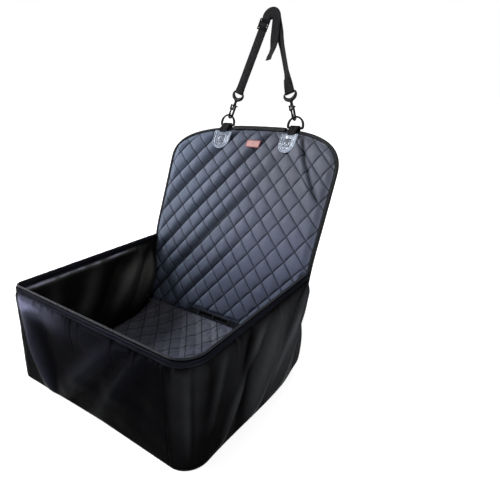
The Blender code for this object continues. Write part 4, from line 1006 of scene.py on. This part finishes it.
# The pinch darkens the seat where its slack sinks: painted shade.
painted_fold_shade = np.clip(-1.2 * slack - 0.1, 0, 0.6)
crown = quilt_crown * (0.72 * height + slack) * ease(edge / 0.016) + 0.0006
seat_quilt = quilted("seat_pad", u_in, v_in, inside, seat_point, np.clip(crown, -0.001, 0.009), quilt_base, painted_fold_shade)
# Painted shadow: the seat's rear left, beside the left wall and the backrest, is far darker than the rest.
seat_tones_and_painted_shadow = ((0.092, 0.094, 0.116), (0.072, 0.084, 0.126), (0.036, 0.035, 0.038), (0.072, 0.084, 0.124))
sew_on(seat_quilt, quilted_cloth("seat_cloth", seat_tones_and_painted_shadow, 0.55), "tub", "quilted_cloth", "seat_quilt")

# Rear of the backrest
# Plain non-slip cloth covers the back of the quilting, stretched and sewn in round its edge. Its foot hangs
# free behind the belt slots as a flap.

columns, rows = 120, 130
share_u, v = np.meshgrid(np.linspace(-1, 1, columns), np.linspace(0.001, panel_top - quilt_inset, rows))
rounding = 1 - (np.clip(v - corner_start, 0, 1) / high_reach) ** corner_power + 1e-9
u = share_u * np.where(v > corner_start, wide_reach * rounding ** (1 / corner_power), panel_half(v) - quilt_inset)
slack = 0.0006 * (1 + wander(u, v, 81, 0.07)) * ease((1 - np.abs(share_u)) / 0.1)
w = quilt_base + soft_gap + cloth_thick / 2 + slack + 0.006 * ease((0.045 - v) / 0.030)
corner_pull = np.abs(share_u) ** 8 * ease((0.050 - v) / 0.020)
u = u + np.where(share_u < 0, -0.022, 0.003) * corner_pull
v = v - 0.0045 * corner_pull * ease((0.020 - v) / 0.015)
points = panel_point(u, v, w)
rear_cloth = thicken(surface("rear_cloth", points, np.stack([u, v], -1), turned=True), cloth_thick)
sew_on(rear_cloth, non_slip, "fold", "non_slip_cloth", "lower_back_cloth", "upper_back_cloth")

# Binding
# A ribbed tape is folded over the edge of the backrest and sewn through, from the crease on one side up and
# round the top to the crease on the other.



def powered(value, power):
    """A power of a value's size, with the value's sign."""
    return np.sign(value) * np.abs(value) ** power


turns = np.linspace(0, math.pi, 181)
power = 2 / corner_power
top_u = (full_half - binding_radius) * powered(np.cos(turns), power)
top_v = between(corner_start, panel_top - binding_radius, np.abs(np.sin(turns)) ** power)
side_v = np.linspace(strip_low, corner_start, 110, endpoint=False)
edge_u = np.concatenate([panel_half(side_v) - binding_radius, top_u, -(panel_half(side_v[::-1]) - binding_radius)])
edge_v = np.concatenate([side_v, top_v, side_v[::-1]])
length = run_along(edge_u, edge_v)
even = np.linspace(0, length[-1], 460)
edge_u, edge_v = np.interp(even, length, edge_u), np.interp(even, length, edge_v)
out_v, out_u = -unit(np.stack([np.gradient(edge_u), -np.gradient(edge_v)], -1)).T[..., None]
angle, flatness = np.linspace(0, 2 * math.pi, 25), 0.82
out = powered(np.cos(angle[:-1]), 0.75) * binding_radius
back = powered(np.sin(angle[:-1]), 0.85) * binding_radius * flatness
points = panel_point(edge_u[:, None] + out_u * out, edge_v[:, None] + out_v * out, quilt_base / 2 + back)
flat = flat_grid(angle * binding_radius, run_along(edge_u, edge_v))
binding = surface("back_binding", points, flat, turned=True, round_columns=True, ends=True)


def ribbed_tape(name, colour, roughness, rib, depth):
    """Tape with fine cross ribs and an uneven satin face."""
    made = Finish(name, colour, roughness, specular_ior_level=0.10)
    across, along = made.cloth()
    ribs, threads, patches = along.stripes(rib), across.stripes(rib * 0.8), made.speckle(40.0, 3.0)
    made.relief(ribs * 0.8 + threads * 0.2, depth)
    made.set("Base Color", made.blend(ribs * 0.35 + patches * 0.35, colour, shade(colour, 2.0, 0.001)))
    made.set("Roughness", roughness + (patches - 0.5) * 0.2)
    return made


binding_tape = ribbed_tape("binding_tape", (0.0042, 0.0045, 0.0060), 0.48, 0.0009, 0.00018)
sew_on(binding, binding_tape, "fold", "binding", "lower_binding_left", "lower_binding_right", "upper_back_binding")

# Crease strip
# Seat and backrest meet in a strip of tape with two bound slots for a belt. Three short dense bars of
# stitches hold it down, one between the slots and one at the outer end of each.

slot_low, slot_high, slot_half, slot_middle = 0.0173, 0.0263, 0.022, 0.025
strip_thick, tape_edge = 0.0030, 0.0004
tack_places, tack_height, tack_half_width, tack_half_length = (-0.0505, 0.0, 0.0505), 0.0215, 0.0016, 0.0062
strip_half = panel_half(strip_high) - quilt_inset
slot_edges = (slot_middle - slot_half, slot_middle + slot_half)
edges_u = (-strip_half, -slot_edges[1], -slot_edges[0], *slot_edges, strip_half)
lines_u = uneven_lines(edges_u, (70, 26, 5, 26, 70))
lines_v = uneven_lines((strip_low, slot_low, slot_high, strip_high), (9, 8, 4))
u, v = np.meshgrid(lines_u, lines_v)
gap_u = np.abs(np.abs(u) - slot_middle) - slot_half
gap_v = np.maximum(slot_low - v, v - slot_high)
away = np.hypot(np.clip(gap_u, 0, 1), np.clip(gap_v, 0, 1))
w = -0.0007 * bell(away, 0.0016) - 0.0004 * wander(u, v, 91, 0.03) + 0.0004
strip = surface("crease_tape", panel_point(u, v, w), np.stack([v, u], -1))
middle_u, middle_v = ((value[:-1, :-1] + value[1:, 1:]) / 2 for value in (u, v))
hole = (np.abs(np.abs(middle_u) - slot_middle) < slot_half) & (middle_v > slot_low) & (middle_v < slot_high)
cut = bmesh.new()
cut.from_mesh(strip.data)
cut.faces.ensure_lookup_table()
bmesh.ops.delete(cut, geom=[cut.faces[index] for index in np.flatnonzero(hole.ravel())], context="FACES")
cut.to_mesh(strip.data)
cut.free()
thicken(strip, strip_thick, tape_edge)
strip_tape = ribbed_tape("strip_tape", (0.0130, 0.0145, 0.0190), 0.50, 0.0011, 0.00020)
sew_on(strip, strip_tape, "tub", "binding", "crease_strip")

tack_thread = Finish("tack_thread", (0.030, 0.031, 0.036), 0.45, specular_ior_level=0.2)
zigzag = tack_thread.cloth()[1].stripes(0.0011)
tack_thread.relief(zigzag, 0.0003)
tack_thread.set("Base Color", tack_thread.blend(zigzag, (0.018, 0.019, 0.023), (0.055, 0.056, 0.064)))
a, b = np.meshgrid(np.linspace(-1, 1, 9), np.linspace(-1, 1, 25))
rise = (1 - np.abs(a) ** 4) * (1 - np.abs(b) ** 8)
ripple = 0.00018 * np.sin(b * 25)
x, y = a * tack_half_width, b * tack_half_length
for index, tack_u in enumerate(tack_places):
    points = panel_point(tack_u + x, tack_height + y, -0.0019 - (0.0011 + ripple) * rise)
    tack = surface(f"bar_tack_{index + 1}", points, np.stack([x, y], -1))
    sew_on(tack, tack_thread, "tub", "binding")

# Patches
# A glossy coated patch backs each ring, welted round its edge and held by a square of stitches with a cross
# in it. A blank pink cloth patch is sewn on between them.

fitting_drift, ring_u, patch_inset, box_half, coat_thick = 0.008, 0.108, 0.0035, 0.0095, 0.0006
patch_width, patch_height, patch_thick, patch_drop = 0.051, 0.050, 0.0012, 0.0145
front_face = -quilt_crown - touch

patch_coat = Finish("coated_patch", (0.12, 0.155, 0.22), 0.32, specular_ior_level=0.4, coat_roughness=0.15)
worn, smear = patch_coat.speckle(90.0, 4.0), patch_coat.speckle(32.0, 3.0)
across, along = patch_coat.cloth()
round_low = (along + 0.003).under(0.0)
edge = patch_width / 2 - (across * across + round_low * round_low) ** 0.5
# Painted highlights along the two welts and round the stitched square, and painted shade in the thin dark lines
# beside the welts.
welt_highlight = edge.line(0.0013, 0.0006, 0.0013).over(edge.line(0.0048, 0.0006, 0.0013))
dark = edge.line(0.0029, 0.0003, 0.0009).over(edge.line(0.0066, 0.0003, 0.0010) * 0.7)
box_up = abs(along + 0.0015)
box = abs(across).over(box_up)
square = box.line(0.0100, 0.0008, 0.0018)
cross_lines = ((abs(across) - box_up) * 0.7071).line(0.0, 0.0007, 0.0017) * (1 - box.eased(0.0092, 0.0098))
box_highlight = box.line(0.0118, 0.0004, 0.0012) * 0.6
tone = patch_coat.blend(smear.eased(0.38, 0.66), (0.075, 0.098, 0.150), (0.165, 0.205, 0.280))
tone = patch_coat.blend(welt_highlight.over(box_highlight), tone, (0.36, 0.43, 0.54))
stitched = square.over(cross_lines)
patch_coat.set("Base Color", patch_coat.blend(dark.over(stitched) * 0.95, tone, (0.012, 0.015, 0.028)))
patch_coat.set("Roughness", 0.30 + worn * 0.22 + stitched * 0.2)
patch_coat.set("Coat Weight", 0.35)
patch_coat.relief(worn, 0.0004, 0.8)



def patch_place(side):
    """A patch's middle across the backrest and the height of its upper edge."""
    middle = side * (ring_u - patch_inset) - fitting_drift
    return middle, float(panel_top_at(middle)) - patch_drop


for side, hand in ((-1, "left"), (1, "right")):
    middle, high = patch_place(side)
    radius = patch_width / 2
    low_centre = high - patch_height + radius
    a, v = np.meshgrid(np.linspace(-1, 1, 57), high - np.linspace(0, 1, 60) * (patch_height - 0.0001))
    x = a * radius * np.sqrt(1 - np.clip((low_centre - v) / radius, 0, 1) ** 2)
    edge = np.where(v > low_centre, radius - np.abs(x), radius - np.hypot(x, v - low_centre))
    welt = 0.0010 * bell(edge - 0.0020, 0.0013) + 0.0005 * bell(edge - 0.0062, 0.0010)
    groove = 0.0004 * bell(edge - 0.0042, 0.0006)
    box_y = v - (low_centre + 0.0015)
    box, cross = np.maximum(np.abs(x), np.abs(box_y)), np.abs(np.abs(x) - np.abs(box_y)) * 0.7071
    box_line = np.minimum(np.abs(box - box_half), np.where(box < box_half, cross, 1))
    sunk = 0.0007 * bell(box_line, 0.0008)
    rise = ease(edge / 0.0012) * patch_thick + welt - groove - sunk + 0.0003 * wander(x, v, 101 + side, 0.016)
    points = panel_point(middle + x, v, front_face + 0.0006 - np.maximum(rise, 0.0))
    patch = surface(f"ring_backing_{hand}", points, np.stack([x, box_y - 0.0015], -1), turned=True)
    thicken(patch, coat_thick)
    sew_on(patch, patch_coat, "backrest", "coated_patch", f"ring_patch_{hand}")

label_width, label_height, label_drop, label_border = 0.043, 0.0205, 0.0395, 0.0022
label_cloth = Finish("label_cloth", (0.55, 0.30, 0.28), 0.55, specular_ior_level=0.25)
across, along = label_cloth.cloth()
inner_x, inner_y = label_width / 2 - label_border, label_height / 2 - label_border
border = (abs(across) - inner_x).over(abs(along) - inner_y).eased(-0.0004, 0.0004)
patches = label_cloth.speckle(130.0, 4.0)
tone = label_cloth.blend(patches.eased(0.3, 0.7), (0.44, 0.23, 0.22), (0.53, 0.30, 0.285))
label_cloth.set("Base Color", label_cloth.blend(border * 0.85, tone, (0.20, 0.055, 0.07)))
label_cloth.set("Roughness", 0.5 + patches * 0.2)
label_cloth.weave(0.0007, 0.00012)
a, b = np.meshgrid(np.linspace(-1, 1, 61), np.linspace(-1, 1, 29))
x, y = a * label_width / 2, b * label_height / 2
edge = np.minimum(label_width / 2 - np.abs(x), label_height / 2 - np.abs(y))
rise = 0.0010 * ease(edge / 0.0010) + 0.0005 * bell(edge - 0.0014, 0.0008) + 0.0004 * wander(x, y, 111, 0.02)
label_middle = panel_top - label_drop - label_height / 2
points = panel_point(x - fitting_drift, label_middle + y, front_face + 0.0004 - np.maximum(rise, 0))
label = thicken(surface("blank_label", points, np.stack([x, y], -1)), coat_thick)
sew_on(label, label_cloth, "backrest", "label_cloth", "label_patch")

# Top band
# Between the rings a second, stiffer tape is folded over the binding and sewn down. It reaches a little
# lower in front of the backrest than behind it.

band_half, band_thick = 0.082, 0.0022
rise = binding_radius + soft_gap + band_thick / 2
angle = np.linspace(0, math.pi, 25)
behind = np.concatenate([np.full(4, -rise), -rise * np.cos(angle), np.full(4, rise)])
above = np.concatenate([np.linspace(-0.0055, -0.0008, 4), rise * np.sin(angle), np.linspace(-0.0008, -0.0045, 4)])
u_line = np.linspace(-band_half, band_half, 90) - fitting_drift
edge_v = panel_top_at(u_line, binding_radius)
middle = panel_point(u_line, edge_v, quilt_base / 2)
below = panel_point(u_line, edge_v - 0.006, quilt_base / 2)
up = unit(middle - below)
across_x = np.array([1.0, 0.0, 0.0])
rear = unit(-np.cross(across_x, up))
wave = 0.0003 * wander(u_line[:, None], above[None, :] * 3, 121, 0.03)
points = middle[:, None] + rear[:, None] * behind[:, None] + up[:, None] * (above + wave)[..., None]
cloth = flat_grid(run_along(behind, above), u_line)
band = thicken(surface("top_tape", points, cloth, turned=True), band_thick, 0.0006)
sew_on(band, binding_tape, "backrest", "binding", "top_band")

# D-rings and their tabs
# Each ring is a bent and welded wire with a black coat. A loop of webbing goes round its straight side and
# is sewn down in front of the backrest's edge and behind it.

ring_wire, ring_width, ring_height, ring_corner, bar_height = 0.0025, 0.038, 0.022, 0.004, 0.0065
strap_lean, strap_height, strap_turn = math.radians(16.0), 0.308, 0.0165
arc_radius = ring_width / 2 + ring_wire
arc_centre = ring_height + 2 * ring_wire - arc_radius
webbing_thick, webbing_width, tab_width, tab_rear_leg = 0.0014, 0.025, 0.031, 0.030
bar_point = panel_point(ring_u, float(panel_top_at(ring_u)) + bar_height, quilt_base / 2)
strap_up = np.array([0.0, math.sin(strap_lean), math.cos(strap_lean)])
strap_back = np.array([0.0, math.cos(strap_lean), -math.sin(strap_lean)])


def strap_point(x, height, back=0.0):
    """Points of the strap's plane, which leans back from the line of the rings' straight sides."""
    x, height, back = (value[..., None] for value in matched(x, height, back))
    start = np.array([0.0, bar_point[1], bar_point[2]])
    return start + x * across_x + height * strap_up + back * strap_back


def evened(places, length, line):
    """The points of a line at places along it, where length is how far along it each of its own points lies."""
    return np.stack([np.interp(places, length, axis) for axis in line.T], -1)


def smooth_loop(points, count):
    """A smooth closed line through points: each stretch is a cubic with the slope of its neighbours. Its points
    are then spread evenly."""
    points = np.asarray(points, float)
    ring = np.concatenate([points[-2:], points, points[:3]])
    share = np.linspace(0, 1, 12, endpoint=False)[:, None]
    parts = []
    for k in range(2, len(points) + 2):
        before, one, two, after = ring[k - 1:k + 3]
        parts.append(0.5 * (
            2 * one + (two - before) * share + (2 * before - 5 * one + 4 * two - after) * share**2
            + (3 * one - before - 3 * two + after) * share**3
        ))
    line = np.concatenate(parts + [points[:1]])
    length = run_along(*line.T)
    return evened(np.linspace(0, length[-1], count, endpoint=False), length, line)


def closed_wire(name, path, radius, sides, level):
    """A ring of wire along a closed path."""
    return surface(name, rings(path, radius, sides, level, closed=True), round_rows=True, round_columns=True)


def coated_metal(name, colour, roughness):
    """Steel under a black coat, a little brighter where its coat is worn."""
    made = Finish(name, colour, roughness, metallic=0.6, specular_ior_level=0.2)
    worn = made.speckle(140.0, 5.0)
    made.set("Base Color", made.blend(worn.eased(0.55, 0.8), colour, shade(colour, 3, 0.004)))
    made.set("Roughness", roughness + (worn - 0.5) * 0.25)
    made.relief(worn, 0.00008)
    return made


black_metal = coated_metal("black_metal", (0.0075, 0.0075, 0.0085), 0.34)
webbing = Finish("webbing", (0.006, 0.006, 0.007), 0.50, specular_ior_level=0.05)
across, along = webbing.cloth()
slant, cords = (along + abs(across) * 0.9).stripes(0.0016), across.stripes(0.0021)
# Painted shade: the webbing is darker along its edges and in the groove near each edge.
edge_shade, groove = abs(across).eased(0.0095, 0.0104), abs(across).line(0.0088, 0.0003, 0.0012)
webbing.relief(slant * 0.6 + cords * 0.4, 0.00030)
webbing.relief(1 - groove, 0.0004)
tone = webbing.blend(slant * 0.5 + cords * 0.3, (0.0022, 0.0022, 0.0028), (0.0100, 0.0100, 0.0115))
webbing.set("Base Color", webbing.blend(groove * 0.7 + edge_shade * 0.3, tone, (0.0020, 0.0020, 0.0024)))
webbing.set("Roughness", 0.48 + slant * 0.15)

# The ring's outline from its right end: the arc at its top, and then the bar at its foot between two bends. The
# wire is thinner at the top, where the hook grips it.
angle, bend = np.linspace(0, math.pi, 49), np.linspace(math.pi, 1.5 * math.pi, 9)
mirror = np.array([-1, 1])
arc = np.stack([arc_radius * np.cos(angle), arc_centre + arc_radius * np.sin(angle)], -1)
down_left = np.stack([np.full(4, -arc_radius), np.linspace(arc_centre, ring_corner, 6)[1:-1]], -1)
left_bend = ring_corner * np.stack([1 + np.cos(bend), 1 + np.sin(bend)], -1) - (arc_radius, 0)
bar = np.stack([np.linspace(ring_corner - arc_radius, arc_radius - ring_corner, 22)[1:-1], np.zeros(20)], -1)
ring_shape = np.concatenate([arc, down_left, left_bend, bar, left_bend[::-1] * mirror, down_left[::-1] * mirror])
from_grip = np.minimum(np.abs(np.arange(len(ring_shape)) - 24), 24)
ring_thick = ring_wire + 0.0008 * ease((from_grip - 10) / 8)

tab_columns, wrap = 17, ring_wire + touch + webbing_thick / 2 + 0.0018
rear_dir = np.array([0.0, math.cos(upper_lean), -math.sin(upper_lean)])
up_dir = np.array([0.0, math.sin(upper_lean), math.cos(upper_lean)])
front_w, rear_w = front_face - webbing_thick / 2, quilt_base + 2 * soft_gap + cloth_thick + webbing_thick / 2

for side, hand in ((-1, "left"), (1, "right")):
    centre_x = side * ring_u - fitting_drift
    path = strap_point(centre_x + ring_shape[:, 0], ring_shape[:, 1])
    ring = closed_wire(f"ring_wire_{hand}", path, ring_thick, 18, strap_back)
    sew_on(ring, black_metal, f"ring_{hand}", "black_metal", f"d_ring_{hand}")

    across_tab = np.linspace(-0.5, 0.5, tab_columns) * tab_width
    u_line = centre_x + across_tab
    edge, patch_high = panel_top_at(u_line), patch_place(side)[1]
    # The loop's rows from its front end up to the edge: how wide each is, how high, and how far in front.
    low, middle = np.full(tab_columns, patch_high), between(patch_high, edge - binding_radius, 0.5)
    rows = (
        (0.52, low - 0.0030, 0.0012), (0.72, low + 0.0010, 0.0010), (0.78, middle, 0.0006),
        (0.80, edge - binding_radius, 0.0),
    )
    knots = [panel_point(centre_x + across_tab * wide, high, front_w - ahead) for wide, high, ahead in rows]
    bar_line = bar_point * (0, 1, 1) + (centre_x + across_tab * 0.80)[:, None] * across_x
    for angle in np.linspace(math.pi, 0, 13):
        knots.append(bar_line + rear_dir * wrap * math.cos(angle) + up_dir * wrap * math.sin(angle))
    knots += [panel_point(u_line, edge - drop, rear_w) for drop in (binding_radius, tab_rear_leg)]
    knots = np.stack(knots)
    cloth = flat_grid(across_tab * 0.8, run_along(*knots[:, tab_columns // 2].T))
    tab = surface(f"ring_loop_{hand}", knots, cloth, turned=True)
    thicken(tab, webbing_thick, tape_edge)
    sew_on(tab, webbing, "backrest", "webbing", f"ring_tab_{hand}")

# Snap hooks
# A bent steel wire with a sprung gate clips on each ring. Its yoke carries a swivel eye, a wire loop with a
# thick neck, which the strap goes through.

eye_wire, eye_inner, eye_low, eye_bar, eye_corner = 0.002, 0.029, 0.067, 0.090, 0.003
grip = arc_centre + arc_radius
leg_angle = math.atan2(ring_u, strap_height - arc_centre)
leg_length = arc_centre + math.hypot(ring_u, strap_height - arc_centre)


def leg_axes(side):
    """Across a strap leg, to its rear and up it, and the point of the ring's wire where its hook grips."""
    up = -side * math.sin(leg_angle) * across_x + strap_up * math.cos(leg_angle)
    grip_x = side * (ring_u - arc_radius * math.sin(leg_angle)) - fitting_drift
    start = strap_point(grip_x, arc_centre + arc_radius * math.cos(leg_angle))
    return np.cross(strap_back, up), strap_back, up, start


def on_leg(side, x, back, up):
    """Points by their places across a strap leg, to its rear and up it from the grip."""
    across, rear, rise, start = leg_axes(side)
    x, back, up = (value[..., None] for value in matched(x, back, up))
    return start + x * across + back * rear + up * rise


def polished(node, name, width):
    """A copy of a solid with its corners merged, its edges rounded and its curved faces smooth."""
    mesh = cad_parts[node].data.copy()
    mesh.name = name
    merge = bmesh.new()
    merge.from_mesh(mesh)
    bmesh.ops.remove_doubles(merge, verts=merge.verts, dist=1e-6)
    bmesh.ops.dissolve_limit(merge, angle_limit=math.radians(1.0), verts=merge.verts, edges=merge.edges)
    merge.to_mesh(mesh)
    merge.free()
    mesh.shade_smooth()
    mesh.set_sharp_from_angle(angle=math.radians(38.0))
    return rounded(stand(name, mesh), width, 38)


# The eye's outline across and up its leg, from its foot over its right half, which its left half mirrors. Its
# wire is thick at the neck and thin at the bar. The stem under it is turned round the leg.
half, low, bar = eye_inner / 2 + eye_wire, eye_low - grip, eye_bar - grip
right_half = [
    (0.0, between(low, bar, 0.20)), (half * 0.42, between(low, bar, 0.26)), (half * 0.86, between(low, bar, 0.48)),
    (half, bar - 2.0 * eye_corner), (half - 0.3 * eye_corner, bar - 0.3 * eye_corner), (half - 2 * eye_corner, bar),
]
left_half = [(-x, up) for x, up in right_half[:0:-1]]
loop = smooth_loop([*right_half, (half * 0.3, bar), (-half * 0.3, bar), *left_half], 120)
loop_thick = between(0.0050, 0.0030, ease((loop[:, 1] - low) / (bar - low) * 1.5 - 0.3))
loop_thick = between(eye_wire, loop_thick, ease((bar - 0.5 * eye_corner - loop[:, 1]) / 0.004))
stem_heights = np.array([0.0532, 0.0534, 0.0556, 0.0558, 0.060, 0.0625, 0.0640, 0.0660, 0.0690, 0.0715]) - grip
stem_radii = np.array([0.0004, 0.0029, 0.0029, 0.0020, 0.0020, 0.0024, 0.0038, 0.0046, 0.0052, 0.0046])

for side, hand in ((-1, "left"), (1, "right")):
    body = polished(f"hook_body_{hand}", f"hook_{hand}_frame", 0.0005)
    sew_on(body, black_metal, f"hook_{hand}", "black_metal", f"hook_body_{hand}")
    gate = polished(f"gate_{hand}", f"hook_{hand}_gate", 0.0004)
    sew_on(gate, black_metal, f"gate_{hand}", "black_metal", f"gate_{hand}")
    eye = closed_wire(f"strap_eye_{hand}", on_leg(side, loop[:, 0], 0.0, loop[:, 1]), loop_thick, 14, strap_back)
    sew_on(eye, black_metal, "strap", "black_metal", f"swivel_eye_{hand}")
    path = on_leg(side, 0.0, 0.0, stem_heights)
    stem = surface(f"eye_stem_{hand}", rings(path, stem_radii, 18, strap_back), round_columns=True, ends=True)
    sew_on(stem, black_metal, "strap", "black_metal")

pin_steel = Finish("pin_steel", (0.16, 0.16, 0.17), 0.35, metallic=1.0)
worn = pin_steel.speckle(400.0, 3.0)
pin_steel.set("Roughness", 0.24 + worn * 0.16)
pin_steel.relief(worn, 0.00003)
for hand in ("left", "right"):
    refinish(f"gate_pin_{hand}", pin_steel)

# Strap
# One length of black webbing: sewn round the right eye, up and over its own turn at the top, down behind
# the left leg, round the left eye, and back up through a slide buckle to a loose end with a small curl.

buckle_place, ply_gap = 0.266, 0.0008
buckle_slot, buckle_bar, buckle_thick = 0.0085, 0.0035, 0.0022
leg_twists = ((0.06, 0.40), (0.10, 0.58), (0.34, 0.58), (0.52, 0.54), (0.64, 0.38), (0.76, 0.10))
tail_rise, tail_end, tail_curl, tail_curl_drift, tail_twist = 0.005, 0.163, 0.007, 0.007, 0.42
ply = (webbing_thick + ply_gap) / 2
wrap = eye_wire + touch + webbing_thick / 2
centres, acrosses = [], []


def lay(centre, across):
    """Takes the webbing on to the next point of its route."""
    centres.append(np.asarray(centre, float))
    acrosses.append(np.asarray(across, float) / np.linalg.norm(across))


def lay_on_leg(side, s, back, twist=0.0):
    """A point of the route at the height s on a leg, twisted about the leg."""
    across, rear, up, _ = leg_axes(side)
    point = on_leg(side, 0.0, 0.0, s - grip)
    turned = across * math.cos(twist) - rear * math.sin(twist)
    behind = across * math.sin(twist) + rear * math.cos(twist)
    lay(point + behind * back, turned * side)


def round_eye(side, first):
    """Half a circle round the bar of a snap eye."""
    for angle in np.linspace(0, math.pi, 15):
        lay_on_leg(side, eye_bar - wrap * math.sin(angle), first * wrap * math.cos(angle))


def through_buckle(back, direction):
    """In through one slot of the buckle, over its bar and out through the other."""
    reach = buckle_bar / 2 + buckle_slot
    dip = buckle_thick + 2 * touch + 2 * webbing_thick + ply_gap
    ramp = ((1.25, 0), (1, 0.02), (0.62, 0.5), (0.3, 0.98))
    for share, depth in (*((-share, depth) for share, depth in ramp), (0, 1), *ramp[::-1]):
        lay_on_leg(-1, buckle_place + direction * share * reach * 0.93, back - depth * dip)


def turn_over(start, end, rise, back):
    """Part of a circle round the strap's top, between two angles."""
    centre_x, centre_h = -fitting_drift, strap_height - strap_turn / math.sin(leg_angle) + rise
    for angle in np.linspace(start, end, 21):
        point = strap_point(centre_x + strap_turn * math.sin(angle), centre_h + strap_turn * math.cos(angle), back)
        lay(point, across_x * math.sin(angle) + strap_up * math.cos(angle))
    return centre_x, centre_h


spread, sewn_end = eye_bar + webbing_width * 0.6, eye_bar + webbing_width * 1.5
flank = math.pi / 2 - leg_angle
top = leg_length - strap_turn / math.tan(leg_angle)
lay_on_leg(1, sewn_end, -ply, leg_twists[0][1])
lay_on_leg(1, spread, -ply)
round_eye(1, -1)
lay_on_leg(1, spread, ply)
lay_on_leg(1, sewn_end, ply, leg_twists[0][1])
for share, twist in leg_twists[1:]:
    lay_on_leg(1, between(sewn_end, top, share), ply, twist)
turn_over(flank, -flank, 0.0, ply)
through_buckle(ply, -1)
lay_on_leg(-1, sewn_end, ply)
lay_on_leg(-1, spread, ply)
round_eye(-1, 1)
lay_on_leg(-1, spread, -ply)
lay_on_leg(-1, sewn_end, -ply)
through_buckle(-ply, 1)
centre_x, centre_h = turn_over(-flank, math.pi / 2, tail_rise, -ply)
for share in (0.35, 0.5, 0.6, 0.7, 0.8, 0.9, 1.0):
    curl = float(ease((share - 0.6) / 0.4)) ** 1.5
    twist = tail_twist * float(ease((share - 0.45) / 0.35))
    along_x, height = centre_x + strap_turn - tail_curl_drift * curl, between(centre_h, tail_end, share)
    point = strap_point(along_x, height, -ply - tail_curl * curl)
    lay(point, across_x * math.cos(twist) - strap_back * math.sin(twist))
centres, acrosses = np.array(centres), np.array(acrosses)
step = run_along(*centres.T)
longest_step, shortest_step = 0.0035, 0.0004
even = np.unique(np.concatenate([step, np.arange(0, step[-1], longest_step)]))
even = even[np.append(True, np.diff(even) > shortest_step)]
centre, across = evened(even, step, centres), unit(evened(even, step, acrosses))
rise = unit(np.cross(across, np.gradient(centre, axis=0)))
half_wide, half_thick = webbing_width / 2, webbing_thick / 2
face = np.linspace(-half_wide + half_thick, half_wide - half_thick, 15)
rounding = np.linspace(math.pi / 2, -math.pi / 2, 5)[1:-1]
bulge, sink = half_thick * np.cos(rounding), half_thick * np.sin(rounding)
section_x = np.concatenate([face, face[-1] + bulge, face[::-1], face[0] - bulge])
section_z = np.concatenate([np.full(15, half_thick), sink, np.full(15, -half_thick), -sink])
points = centre[:, None] + across[:, None] * section_x[:, None] + rise[:, None] * section_z[:, None]
cloth = flat_grid(np.append(section_x, section_x[0]), even)
strap = surface("strap_band", points, cloth, round_columns=True, ends=True)
sew_on(strap, webbing, "strap", "webbing", "strap_webbing")

black_plastic = Finish("black_plastic", (0.004, 0.004, 0.005), 0.55, specular_ior_level=0.02)
mould = black_plastic.speckle(500.0, 3.0)
black_plastic.set("Roughness", 0.50 + mould * 0.16)
black_plastic.set("Base Color", black_plastic.blend(mould, (0.003, 0.003, 0.004), (0.007, 0.007, 0.008)))
black_plastic.relief(mould, 0.00004)
buckle = polished("slide_buckle", "strap_slider", 0.0005)
sew_on(buckle, black_plastic, "strap", "black_plastic", "slide_buckle")
